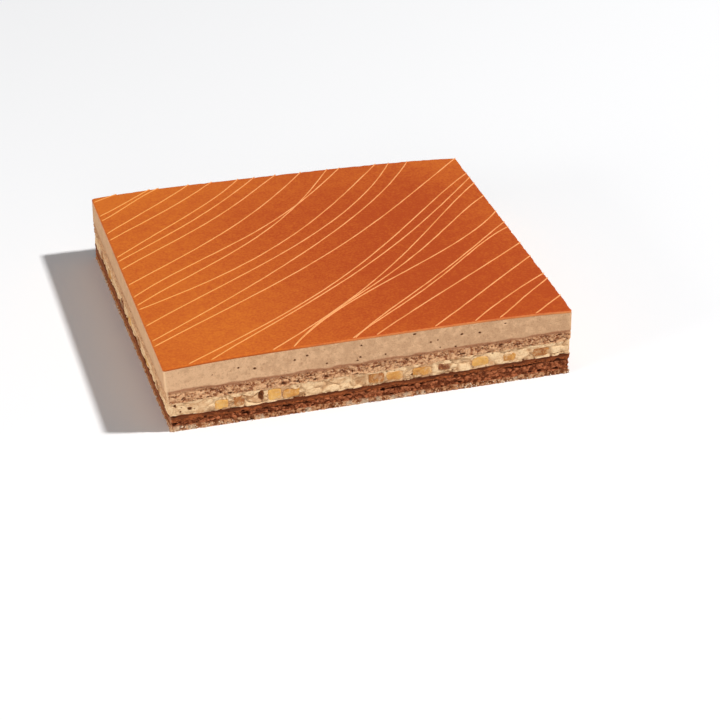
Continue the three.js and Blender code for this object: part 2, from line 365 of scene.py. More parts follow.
@dataclass(frozen=True)
class Joint:
    """Where two layers meet: its height over the middle, its climb along X and its waver.

    At the left end of the cake it may rise once more, by left_rise, from one place to another.
    """

    height: float
    climb: float = 0.0
    waver: float = 0.0
    seed: int = 0
    left_rise: float = 0.0
    left_span: tuple[float, float] = (-102.0, -132.0)

    def level(self, places: Array) -> Array:
        """The height at each place.

        Formula: height + climb * x + waver * noise + left_rise, which comes in over its span.

        Args:
            places: Places on the true plan in mm, (..., 2).

        Returns:
            The heights in mm, (...).
        """
        noise = rough_noise(raised(places, 0.0), 11.0, self.seed) if self.waver else 0.0
        rise = self.left_rise * ease(places[..., 0], *self.left_span)
        return self.height + self.climb * places[..., 0] + self.waver * noise + rise


@dataclass(frozen=True)
class CrownJoint:
    """The joint under the glaze: so far below the crowned top."""

    plan: Plan
    below: float

    def level(self, places: Array) -> Array:
        """The height at each place (..., 2): the crown less the thickness of the glaze."""
        return self.plan.crown(places[..., 0]) - self.below


FLOOR = Joint(0.0)
OVER_BASE = Joint(3.4, 0.0, 0.6, 61)
OVER_CRUNCH = Joint(8.7, 0.02, 0.6, 62)
OVER_CHOCOLATE = Joint(12.1, 0.017, 0.45, 63, 1.4)
OVER_CREAM = Joint(22.0, 0.016, 1.0, 64)
OVER_SPONGE = Joint(29.9, 0.01, 0.4, 65)


# ------------------------------------------------------------------ meshes


def tube_faces(levels: int, columns: int, count: int = 1) -> list[Array]:
    """The faces of closed tubes whose points are stored as (count, levels, columns).

    Formula: a quad joins each point to its neighbours in its ring and in the next ring, the
    last column joins the first, and one face closes each end.

    Args:
        levels: How many rings a tube has.
        columns: How many points a ring has, against the clock as seen from the tube's end.
        count: How many tubes there are.

    Returns:
        The quads, and the faces at the starts and at the ends.
    """
    ring = np.arange(columns)
    turned = np.roll(ring, -1)
    rows = (np.arange(levels - 1) * columns)[:, None]
    quads = np.stack(
        [rows + ring, rows + turned, rows + columns + turned, rows + columns + ring], axis=-1
    )
    tubes = (np.arange(count) * levels * columns)[:, None]
    quads = (tubes[..., None, None] + quads).reshape(-1, 4)
    return [quads, tubes + ring[::-1], tubes + (levels - 1) * columns + ring]


def make_piece(
    name: str, points: Array, faces: list[Array], tones: Tones, crease: float = 60.0
) -> Piece:
    """Puts points and faces into a new object, with its tones as attributes.

    Args:
        name: The name of the piece.
        points: Places in mm, as they stand in the cake, (..., 3).
        faces: Arrays of faces, (faces, corners), each with its own number of corners.
        tones: A number for each point under the name that a finish reads.
        crease: The angle in degrees from which an edge is left sharp.

    Returns:
        The object, at the origin, with its place in its mesh.
    """
    mesh = bpy.data.meshes.new(name)
    flat = points.reshape(-1, 3) * MM
    mesh.vertices.add(len(flat))
    mesh.vertices.foreach_set("co", flat.astype(np.float32).ravel())
    corners = np.concatenate([part.ravel() for part in faces]).astype(np.int32)
    sizes = np.concatenate([np.full(len(part), part.shape[1]) for part in faces])
    mesh.loops.add(len(corners))
    mesh.loops.foreach_set("vertex_index", corners)
    mesh.polygons.add(len(sizes))
    starts = np.concatenate([[0], np.cumsum(sizes)[:-1]]).astype(np.int32)
    mesh.polygons.foreach_set("loop_start", starts)
    mesh.polygons.foreach_set("use_smooth", np.ones(len(sizes), dtype=bool))
    mesh.update(calc_edges=True)
    mesh.validate()
    mesh.set_sharp_from_angle(angle=math.radians(crease))
    for tone, values in tones.items():
        attribute = mesh.attributes.new(tone, "FLOAT", "POINT")
        attribute.data.foreach_set("value", values.ravel().astype(np.float32))
    piece = bpy.data.objects.new(name, mesh)
    bpy.context.scene.collection.objects.link(piece)
    return piece


def inside_box(points: Array) -> Array:
    """Points in mm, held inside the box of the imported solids."""
    low, high = (np.array(corner) / MM for corner in cad_box)
    return np.clip(points, low, high)


def settle(piece: Piece, finish: "Finish", nodes: list[str]) -> Piece:
    """Dresses a piece, sets it on the cake's body and says what it stands for.

    Args:
        piece: The object.
        finish: What it is made of.
        nodes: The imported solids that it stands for.

    Returns:
        The same object.
    """
    piece.data.materials.append(finish.make())
    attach(piece, BODY)
    if nodes:
        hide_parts(*nodes)
    faces = sum(len(polygon.vertices) - 2 for polygon in piece.data.polygons)
    logger.info("%s: %d triangles, stands for %d solids", piece.name, faces, len(nodes))
    return piece


# ------------------------------------------------------------------ finishes


# The numbers of the colour sockets of a Mix node, and the colour of the highlight that is
# painted along the front left corner's edge.
MIX_FACTOR, MIX_A, MIX_B, MIX_RESULT = 0, 6, 7, 2
CORNER_HIGHLIGHT = "#E8C298"

Stops = tuple[tuple[float, str], ...]
Mark = tuple[str, str, float]


def linear(code: str) -> tuple[float, ...]:
    """An sRGB colour such as #C8602A as the linear colour that a shader takes."""
    parts = np.array([int(code[i : i + 2], 16) for i in (1, 3, 5)]) / 255
    bent = np.where(parts <= 0.04045, parts / 12.92, ((parts + 0.055) / 1.055) ** 2.4)
    return (*(float(part) for part in bent), 1.0)


def scale_of(size: float) -> float:
    """The scale that makes a pattern on Object coordinates, in metres, repeat at size mm."""
    return 1 / (size * MM)


def add(tree: Tree, kind: str, output: str | int, settings: dict[str | int, object]) -> Socket:
    """Adds a node to a tree.

    Args:
        tree: The node tree.
        kind: The node's type, less the word ShaderNode.
        output: Which of its outputs is wanted.
        settings: What feeds its sockets, the values of its sockets, both by name or number,
            and the values of its own properties. Under "stops" stand a colour ramp's stops.

    Returns:
        The output.
    """
    node = tree.nodes.new("ShaderNode" + kind)
    for key, value in settings.items():
        if key == "stops":
            stops = node.color_ramp.elements
            stops.remove(stops[1])
            stops[0].position = value[0][0]
            stops[0].color = linear(value[0][1])
            for place, code in value[1:]:
                stops.new(place).color = linear(code)
        elif isinstance(value, Socket):
            tree.links.new(value, node.inputs[key])
        elif isinstance(key, int) or key in node.inputs:
            node.inputs[key].default_value = value
        else:
            setattr(node, key, value)
    return node.outputs[output]


@dataclass(frozen=True)
class Speckle:
    """Specks of another colour, where a noise of their size rises past a span of heights."""

    code: str
    size_mm: float
    share: float
    span: tuple[float, float] = (0.52, 0.72)
    detail: float = 2.0
    roughness: float = 0.65

    def lay(self, tree: Tree, place: Socket, under: Socket) -> tuple[Socket, Socket]:
        """Lays the specks over a colour.

        Args:
            tree: The node tree.
            place: The object's own coordinates.
            under: The colour below them.

        Returns:
            The colour with its specks, and their noise.
        """
        scale = scale_of(self.size_mm)
        shape = {"Scale": scale, "Detail": self.detail, "Roughness": self.roughness}
        noise = add(tree, "TexNoise", "Fac", {"Vector": place, **shape})
        low, high = self.span
        span = {"Value": noise, "From Min": low, "From Max": high, "To Max": self.share}
        weight = add(tree, "MapRange", "Result", span)
        sockets = {MIX_FACTOR: weight, MIX_A: under, MIX_B: linear(self.code)}
        return add(tree, "Mix", MIX_RESULT, {"data_type": "RGBA", **sockets}), noise


@dataclass(frozen=True)
class Finish:
    """What every finish shares: the dull or glossy skin of a moist food, and its marks.

    Each mark is (a tone, a colour, a share), and lays the colour over the body where the tone
    is high. The relief is the depth of the finest bumps, or 0 for a smooth skin.
    """

    name: str
    roughness: float = 0.7
    specular: float = 0.25
    ior: float = 1.4
    relief_mm: float = 0.1
    marks: tuple[Mark, ...] = ()

    def paint(self, tree: Tree, place: Socket) -> tuple[Socket, Socket]:
        """The body's colour and the height of its bumps. Each kind of finish has its own."""
        raise NotImplementedError

    def make(self) -> bpy.types.Material:
        """The material: the body, its marks, its bumps and the shader's even values."""
        material = bpy.data.materials.new(self.name)
        material.use_nodes = True
        tree = material.node_tree
        shader = tree.nodes["Principled BSDF"]
        shader.inputs["Roughness"].default_value = self.roughness
        shader.inputs["Specular IOR Level"].default_value = self.specular
        shader.inputs["IOR"].default_value = self.ior
        colour, height = self.paint(tree, add(tree, "TexCoord", "Object", {}))
        for tone, code, share in self.marks:
            weight = add(tree, "Attribute", "Fac", {"attribute_name": tone})
            part = {"operation": "MULTIPLY", "use_clamp": True, 0: weight, 1: share}
            sockets = {MIX_FACTOR: add(tree, "Math", 0, part), MIX_A: colour, MIX_B: linear(code)}
            colour = add(tree, "Mix", MIX_RESULT, {"data_type": "RGBA", **sockets})
        tree.links.new(colour, shader.inputs["Base Color"])
        if self.relief_mm:
            bumps = {"Strength": 1.0, "Distance": self.relief_mm * MM, "Height": height}
            tree.links.new(add(tree, "Bump", "Normal", bumps), shader.inputs["Normal"])
        return material


@dataclass(frozen=True)
class CutFinish(Finish):
    """A cut face of the cake: clouds of three tones and the specks of its fine crumb.

    The clouds give the uneven colour of a mixed dough or cream, drawn out along the cut by the
    knife. The tone "lift" makes a place paler or deeper. Of the marks, "band" colours a strip
    along a joint, another paints shade into pores and gaps, "smear" is where the knife dragged
    paler cream over the face, and "corner" paints a highlight on the front left corner's edge.
    """

    stops: Stops = ()
    grain: Speckle | None = None
    cloud_mm: float = 9.0
    cloud_stretch: float = 1.0
    lift_share: float = 0.12

    def paint(self, tree: Tree, place: Socket) -> tuple[Socket, Socket]:
        """The clouds under their specks, whose noise is the height of the bumps.

        Args:
            tree: The node tree.
            place: The object's own coordinates.

        Returns:
            The colour and the height.
        """
        flat = 1 / self.cloud_stretch
        drawn_out = add(tree, "Mapping", "Vector", {"Vector": place, "Scale": (flat, flat, 1.0)})
        shape = {"Scale": scale_of(self.cloud_mm), "Detail": 3.0, "Roughness": 0.6}
        cloud = add(tree, "TexNoise", "Fac", {"Vector": drawn_out, **shape})
        lift = add(tree, "Attribute", "Fac", {"attribute_name": "lift"})
        raised = {"operation": "MULTIPLY_ADD", 0: lift, 1: self.lift_share, 2: cloud}
        level = add(tree, "Math", 0, raised)
        body = add(tree, "ValToRGB", "Color", {"stops": self.stops, "Fac": level})
        return self.grain.lay(tree, place, body)


@dataclass(frozen=True)
class GlazeFinish(Finish):
    """Caramel glaze, poured warm and set with gelatine: close, even and softly glossy.

    Its colour is a little lighter and yellower along the left and the back, and redder and
    deeper over the right half. Clouds, mottles and a fine stipple break its tone, each as (its
    size in mm, how far it shifts the tone). The mark "edge" darkens its foot, and "lip" is a
    highlight painted along its rim.
    """

    stops: Stops = ((0.0, "#B94D21"), (0.45, "#CA6127"), (1.0, "#DB752B"))
    patterns: tuple[tuple[float, float], ...] = ((60.0, 0.45), (7.0, 0.6), (1.6, 1.3))
    stipple_mm: float = 1.5

    def paint(self, tree: Tree, place: Socket) -> tuple[Socket, Socket]:
        """The tone of how light the glaze is, broken by its patterns, and its stipple.

        Args:
            tree: The node tree.
            place: The object's own coordinates.

        Returns:
            The colour and the height.
        """
        # Each noise has its middle at 0.5, so half of what they add is taken away first.
        spread = sum(share for _, share in self.patterns)
        # The attribute "thin" holds how light and yellow the glaze's colour is.
        thin = add(tree, "Attribute", "Fac", {"attribute_name": "thin"})
        tone = add(tree, "Math", 0, {"operation": "SUBTRACT", 0: thin, 1: spread / 2})
        for size, share in self.patterns:
            shape = {"Scale": scale_of(size), "Detail": 2.0, "Roughness": 0.6}
            noise = add(tree, "TexNoise", "Fac", {"Vector": place, **shape})
            tone = add(tree, "Math", 0, {"operation": "MULTIPLY_ADD", 0: noise, 1: share, 2: tone})
        body = add(tree, "ValToRGB", "Color", {"stops": self.stops, "Fac": tone})
        stipple = {"Vector": place, "Scale": scale_of(self.stipple_mm), "Detail": 2.0}
        return body, add(tree, "TexNoise", "Fac", stipple)


@dataclass(frozen=True)
class DrizzleFinish(Finish):
    """Pale caramel, piped warm in fine threads: opaque, smooth and lighter than the glaze.

    The mark "golden" turns it yellower towards the left.
    """

    stops: Stops = ((0.35, "#EA9656"), (0.6, "#F9AF70"))
    streak_mm: float = 14.0

    def paint(self, tree: Tree, place: Socket) -> tuple[Socket, Socket]:
        """Long streaks of two tones.

        Args:
            tree: The node tree.
            place: The object's own coordinates.

        Returns:
            The colour, and the streaks' noise, which a smooth skin doesn't use.
        """
        shape = {"Scale": scale_of(self.streak_mm), "Detail": 3.0}
        streak = add(tree, "TexNoise", "Fac", {"Vector": place, **shape})
        return add(tree, "ValToRGB", "Color", {"stops": self.stops, "Fac": streak}), streak


@dataclass(frozen=True)
class PearFinish(Finish):
    """Pear cooked in caramel and cut: moist, slightly clear flesh with fine grit and fibres.

    The tone "amber" runs from pale gold to dark brown, as each die took the caramel. The knife
    left a thin drag of cream over parts of each face.
    """

    stops: Stops = ((0.0, "#E3AC5C"), (0.35, "#CB8C45"), (0.68, "#A56535"), (1.0, "#7C4124"))
    grit: Speckle = Speckle("#F2CE8C", 0.8, 0.4, (0.55, 0.75), 1.0, 0.5)
    drag: Speckle = Speckle("#E0BC90", 3.0, 0.7, (0.5, 0.72), 3.0, 0.6)
    fibre_mm: float = 3.2
    drift: float = 0.22

    def paint(self, tree: Tree, place: Socket) -> tuple[Socket, Socket]:
        """The die's tone, which drifts with its fibres, under grit and the drag of cream.

        Args:
            tree: The node tree.
            place: The object's own coordinates.

        Returns:
            The colour and the height.
        """
        shape = {"Scale": scale_of(self.fibre_mm), "Detail": 4.0, "Roughness": 0.6}
        fibre = add(tree, "TexNoise", "Fac", {"Vector": place, **shape})
        span = {"From Min": 0.3, "From Max": 0.7, "To Min": -self.drift, "To Max": self.drift}
        drift = add(tree, "MapRange", "Result", {"Value": fibre, **span})
        amber = add(tree, "Attribute", "Fac", {"attribute_name": "amber"})
        total = add(tree, "Math", 0, {"operation": "ADD", 0: amber, 1: drift})
        body = add(tree, "ValToRGB", "Color", {"stops": self.stops, "Fac": total})
        gritty, _ = self.grit.lay(tree, place, body)
        dragged, _ = self.drag.lay(tree, place, gritty)
        return dragged, fibre


def cloud_stops(deep: str, mid: str, pale: str) -> Stops:
    """The stops of a cut face's three tones, spread over the middle of its cloud noise."""
    return (0.34, deep), (0.5, mid), (0.66, pale)


def cut_marks(
    hollow: str, band: str, band_share: float, smear: str, smear_share: float, corner_highlight_share: float
) -> tuple[Mark, ...]:
    """The four marks of a cut face in their order: band, painted shade, smear, painted highlight.
    """
    edge = ("corner", CORNER_HIGHLIGHT, corner_highlight_share)
    return ("band", band, band_share), ("hollow", hollow, 1.0), ("smear", smear, smear_share), edge


# In each cut face's marks, the first and darkest colour is painted shade for pores and gaps, and
# the corner's share is the strength of a highlight painted along the front left corner.
# The true grain of each food is finer than a pixel of the picture. Its specks and stipples are
# drawn coarser, about 1 mm, so that they show.

# Caramel mousse: whipped cream set with gelatine and cut with a hot knife. The cut is dull and
# close, with a fine stipple of air.
MOUSSE = CutFinish(
    "caramel_mousse", roughness=0.8, specular=0.08, relief_mm=0.32, cloud_mm=5.0,
    stops=cloud_stops("#C49A75", "#CBA17B", "#DBB088"), grain=Speckle("#AC7E5A", 1.3, 0.5),
    marks=cut_marks("#6A3B20", "#A06848", 0.8, "#D4A880", 0.6, 0.75),
)
# Almond sponge soaked with syrup: torn open by the knife into lumps and dark pores, under a
# closer brown skin.
SPONGE = CutFinish(
    "almond_sponge", roughness=0.9, specular=0.08, relief_mm=0.4, cloud_mm=2.6,
    stops=cloud_stops("#8E5436", "#BB835A", "#DCA97D"), grain=Speckle("#EFCBA4", 1.0, 0.65),
    marks=cut_marks("#60301A", "#AA7656", 0.7, "#D6AA7E", 0.4, 0.75),
    cloud_stretch=1.5, lift_share=0.2,
)
# Pear cream: pale custard cream, dull and close, cut into flat curds that the knife tore at.
CREAM = CutFinish(
    "pear_cream", roughness=0.7, specular=0.12, relief_mm=0.3, cloud_mm=3.2,
    stops=cloud_stops("#CE9E72", "#E6BF92", "#F5D2A4"), grain=Speckle("#BE8858", 1.2, 0.5),
    marks=cut_marks("#7E4A29", "#B98353", 0.7, "#DBAF80", 0.35, 0.75),
    cloud_stretch=1.8, lift_share=0.26,
)
# Chocolate layer: dense and fat, cut clean, so it is the smoothest of the dark layers.
CHOCOLATE = CutFinish(
    "chocolate", roughness=0.6, specular=0.08, relief_mm=0.2, cloud_mm=3.0,
    stops=cloud_stops("#5F2F19", "#753E22", "#A4582F"), grain=Speckle("#54280F", 1.2, 0.4),
    marks=cut_marks("#34160B", "#562714", 0.7, "#8F5230", 0.6, 0.2),
    cloud_stretch=2.5, lift_share=0.2,
)
# Cocoa crunch: crushed biscuit bound with chocolate, broken rather than cut.
CRUNCH = CutFinish(
    "cocoa_crunch", roughness=0.9, specular=0.05, relief_mm=0.3, cloud_mm=2.0,
    stops=cloud_stops("#703820", "#975231", "#B56B45"), grain=Speckle("#BD7B55", 1.1, 0.4),
    marks=(("hollow", "#40190D", 1.0), ("smear", "#94522C", 0.6), ("corner", CORNER_HIGHLIGHT, 0.25)),
    lift_share=0.3,
)
# Crumb base: brown baked crumb with whitish drifts, which sheds along its foot.
BASE = CutFinish(
    "pale_crumb", roughness=0.95, specular=0.05, relief_mm=0.3, cloud_mm=2.4,
    stops=cloud_stops("#7E4628", "#AC6F49", "#CC966C"), grain=Speckle("#DCAF88", 1.1, 0.4),
    marks=cut_marks("#4E2512", "#E6C9A8", 0.8, "#B87848", 0.5, 0.4), lift_share=0.3,
)
# Crumbs shed by the base: dry, dull and whitish.
SHED_CRUMB = CutFinish(
    "shed_crumb", roughness=0.95, specular=0.05, relief_mm=0.15, cloud_mm=1.6,
    stops=cloud_stops("#B88C68", "#D6B999", "#E9D6C0"), grain=Speckle("#A67850", 0.9, 0.4),
)
# The glaze's foot is darkened, and a highlight is painted along its rim.
GLAZE = GlazeFinish(
    "caramel_glaze", roughness=0.4, specular=0.07, relief_mm=0.03,
    marks=(("edge", "#A9521F", 1.0), ("lip", "#E59A5E", 1.0)),
)
DRIZZLE = DrizzleFinish(
    "caramel_drizzle", roughness=0.5, specular=0.1, relief_mm=0.0,
    marks=(("golden", "#F2A856", 1.0),),
)
PEAR = PearFinish("diced_pear", roughness=0.4, specular=0.2)


# ------------------------------------------------------------------ cut layers


@dataclass(frozen=True)
class SideGrid:
    """The cut side of a layer before its relief: an even grid all round the cake.

    The points lie on the true plan, (levels, columns, 3). The share runs from 0 at the layer's
    foot to 1 at its top. The smear is 1 where the knife dragged cream over the face: on the
    left side and round the front left corner. The corner is 1 on that corner's edge, where a
    highlight is painted.
    """

    points: Array
    ways_out: Array
    share: Array
    smear: Array
    corner: Array

    side_angle: ClassVar[float] = math.radians(30)

    def on_side(self, side: Side) -> Array:
        """True for the columns that face that side."""
        return self.ways_out @ np.array(side.value) > math.cos(self.side_angle)

    def along(self, side: Side) -> Array:
        """How far each point lies to the right along a side, as seen from outside."""
        out_x, out_y = side.value
        return -out_y * self.points[..., 0] + out_x * self.points[..., 1]

    def front_or(self, front: Array, others: Array | float = 0) -> Array:
        """One array of values on the front, and another on the other sides."""
        return np.where(self.on_side(Side.FRONT), front, others)


@dataclass(frozen=True)
class Spot:
    """A known pit in the front, with painted shade: its place along X, its height and its radii, in
    mm.
    """

    x: float
    z: float
    wide: float
    tall: float

    def depth(self, places: Array) -> Array:
        """1 at the spot's middle and 0 from its rim outwards: 1 - (distance / radius)^2.

        Args:
            places: How far right and how high each point of the front lies, in mm, (..., 2).

        Returns:
            The depths, (...).
        """
        off = (places - [self.x, self.z]) / [self.wide, self.tall]
        return np.clip(1 - (off**2).sum(axis=-1), 0, 1)


def known_spots(*rows: tuple[float, float, float, float]) -> tuple[Spot, ...]:
    """Several known hollows, each from the numbers of a Spot."""
    return tuple(Spot(*row) for row in rows)


def deepest(spots: tuple[Spot, ...], grid: SideGrid, ragged: float = 0.6) -> Array:
    """The deepest of several spots at each point of a side, their rims torn by noise.

    Args:
        spots: The known hollows.
        grid: The side.
        ragged: How far the noise moves their rims, in mm.

    Returns:
        The depths, of the shape of the grid.
    """
    torn = warp(grid.points, 1.5, ragged, 75)
    depths = [spot.depth(torn[..., [0, 2]]) for spot in spots]
    return grid.front_or(np.max(depths, axis=0))


@dataclass(frozen=True)
class CutLayer:
    """One layer under the glaze, from a lower to an upper joint, cut on all four sides.

    Formula: the side is the plan's outline carried up from joint to joint. Each point is moved
    outwards by the layer's own relief and then to where the knife left the corners. The smear
    and the highlight painted on the front left corner come in over spans of the way out's X and
    of the distance to the left side.
    """

    plan: Plan
    column_pitch: float = 0.45
    level_pitch: float = 0.42
    smear_facing: tuple[float, float] = (-0.45, -0.8)
    corner_highlight_span: tuple[float, float] = (2.4, 0.8)
    corner_highlight_facing: tuple[float, float] = (-0.98, -0.7)

    name: ClassVar[str]
    slot: ClassVar[str]
    nodes: ClassVar[tuple[str, ...]]
    lower: ClassVar[Joint]
    upper: ClassVar[Joint | CrownJoint]
    finish: ClassVar[Finish]

    def grid(self) -> SideGrid:
        """The even grid that carries the layer's relief."""
        outline = self.plan.outline(self.column_pitch)
        foot = self.lower.level(outline.places)
        rise = self.upper.level(outline.places) - foot
        levels = round(float(rise.max()) / self.level_pitch) + 1
        share = np.repeat(np.linspace(0, 1, levels)[:, None], len(foot), axis=1)
        places = np.broadcast_to(outline.places, (levels, *outline.places.shape))
        points = raised(places, foot + rise * share)
        facing = ease(outline.ways_out[:, 0], *self.smear_facing)
        drag = 0.75 + 0.35 * soft_noise(points / [1, 1, 3], 6.0, 71)
        # Where the highlight is painted along the front left corner's edge.
        from_left = outline.places[:, 0] + self.plan.width / 2
        corner = ease(from_left, *self.corner_highlight_span) * ease(outline.places[:, 1], 0.0, -1.0)
        corner = corner * ease(outline.ways_out[:, 0], *self.corner_highlight_facing)
        smear = facing * np.clip(drag, 0, 1)
        return SideGrid(points, outline.ways_out, share, smear, corner)

    def relief(self, grid: SideGrid) -> tuple[Array, Tones]:
        """How far each point stands out in mm, and the tones. Each layer has its own."""
        raise NotImplementedError

    def build(self) -> Piece:
        """The finished piece."""
        grid = self.grid()
        stand_out, tones = self.relief(grid)
        points = grid.points.copy()
        points[..., :2] += grid.ways_out * stand_out[..., None]
        faces = tube_faces(*grid.share.shape)
        marks = {"smear": grid.smear, "corner": np.broadcast_to(grid.corner, grid.share.shape)}
        points = inside_box(self.plan.drifted(points))
        piece = make_piece(self.name, points, faces, {**marks, **tones})
        return settle(piece, self.finish, list(self.nodes))


@dataclass(frozen=True)
class CaramelMousse(CutLayer):
    """The caramel mousse: close and slightly swollen, with air pits large and small."""

    glaze_thickness: float = 1.6
    swell: float = 0.12
    pit_depth: float = 1.0
    pore_depth: float = 0.25
    paler_left: float = 1.6

    name = "caramel_mousse_body"
    slot = "caramel_mousse"
    nodes = ("caramel_mousse",)
    lower = OVER_SPONGE
    finish = MOUSSE
    spots = known_spots(
        (-75.3, 36.9, 1.35, 0.85), (27.4, 44.6, 1.3, 0.7), (58.3, 39.7, 1.2, 0.75),
        (70.2, 39.0, 1.1, 0.75), (-85.3, 38.8, 0.9, 0.7), (-49.9, 38.6, 0.8, 0.65),
        (-41.9, 40.5, 0.95, 0.75), (-9.9, 31.9, 0.8, 0.6), (-7.9, 34.0, 0.9, 0.8),
        (-7.0, 42.2, 0.7, 0.6), (8.3, 33.4, 0.8, 0.7), (54.2, 31.7, 0.9, 0.6),
        (-29.5, 32.9, 0.8, 0.6), (87.0, 42.9, 0.8, 0.5), (-101.7, 36.5, 0.6, 0.5),
        (42.5, 38.2, 0.6, 0.5),
    )

    @property
    def upper(self) -> CrownJoint:
        """The crowned joint under the glaze."""
        return CrownJoint(self.plan, self.glaze_thickness)

    def relief(self, grid: SideGrid) -> tuple[Array, Tones]:
        """A slow swell, fine pores and a few larger pits; smoother where smeared.

        Args:
            grid: The layer's even side.

        Returns:
            How far each point stands out in mm, and its tones.
        """
        calm = 1 - 0.75 * grid.smear
        pits = np.maximum(
            bubbles(grid.points, 9.0, (0.4, 0.9), 0.16, 31) * calm, deepest(self.spots, grid, 0.2)
        )
        pores = bubbles(grid.points, 2.4, (0.35, 0.8), 0.35, 21) * calm
        swell = self.swell * (soft_noise(grid.points, 30.0, 11) - 1.0)
        stand_out = swell - self.pit_depth * pits - self.pore_depth * pores
        # Painted shade in the pits and pores.
        hollow = np.clip(ease(pits, 0.05, 0.6) + 0.2 * ease(pores, 0.2, 1.0), 0, 1)
        torn = rough_noise(grid.points * [0.4, 0.4, 1.0], 3.0, 35)
        foot = ease(grid.share + 0.07 * torn, 0.075, 0.015)
        lift = self.paler_left * ease(grid.along(Side.FRONT), 0.0, -self.plan.width / 2)
        foot *= 1 - 0.6 * grid.smear
        return stand_out, {"hollow": hollow, "band": foot, "lift": grid.front_or(lift)}


@dataclass(frozen=True)
class AlmondSponge(CutLayer):
    """The soaked almond sponge: a closer skin above, and torn crumb with open pores below."""

    inset: float = 0.4
    crumb: float = 0.6
    pore_depth: float = 1.2

    name = "almond_sponge_crumb"
    slot = "almond_sponge"
    nodes = ("almond_sponge",)
    lower = OVER_CREAM
    upper = OVER_SPONGE
    finish = SPONGE
    spots = known_spots(
        (-105.0, 21.4, 2.2, 0.7), (-97.7, 23.0, 1.6, 0.6), (-92.1, 22.1, 2.0, 0.8),
        (-57.2, 23.0, 2.4, 0.8), (-48.8, 23.1, 1.8, 0.7), (-40.5, 26.0, 2.6, 0.6),
        (-37.3, 22.6, 1.6, 0.7), (-30.2, 23.3, 2.2, 0.8), (-10.8, 22.0, 1.8, 0.8),
        (3.4, 25.5, 2.6, 0.6), (58.6, 25.2, 3.0, 0.6), (62.7, 20.6, 1.8, 0.7),
        (76.0, 22.9, 2.2, 0.7), (83.8, 27.5, 2.6, 0.5), (95.9, 26.3, 3.2, 0.6),
        (118.8, 25.0, 2.4, 0.7), (123.4, 28.7, 2.2, 0.5),
    )

    def relief(self, grid: SideGrid) -> tuple[Array, Tones]:
        """Torn lumps drawn out along the cut, pores between them, and a flatter skin on top.

        Args:
            grid: The layer's even side.

        Returns:
            How far each point stands out in mm, and its tones.
        """
        open_crumb = ease(grid.share, 0.95, 0.7) * (1 - 0.25 * grid.smear)
        drawn_out = warp(grid.points * [0.8, 0.8, 1.0], 2.0, 0.8, 43)
        border, pick = crumble(drawn_out, 1.35, 41)
        lumps = rough_noise(drawn_out, 1.2, 51) + 0.9 * (pick - 0.5)
        cracks = ease(border, 0.2, 0.02) * ease(rough_noise(grid.points, 3.0, 47), -0.1, 0.4)
        pores = bubbles(grid.points * [0.7, 0.7, 1.1], 1.8, (0.25, 0.65), 0.4, 46) * open_crumb
        pores = np.maximum(pores, deepest(self.spots, grid))
        stand_out = self.crumb * lumps * (0.25 + 0.75 * open_crumb) - self.inset
        stand_out -= self.pore_depth * np.maximum(pores, 0.4 * cracks * open_crumb)
        # Painted shade in the pores and cracks.
        hollow = np.maximum(0.9 * ease(pores, 0.1, 0.7), 0.45 * cracks * open_crumb)
        skin = ease(grid.share + 0.1 * lumps, 0.76, 0.92) * (1 - 0.5 * grid.smear)
        lift = (1.6 * lumps + 0.9 * (0.55 - grid.share)) * open_crumb
        return stand_out, {"hollow": hollow, "band": skin, "lift": lift}


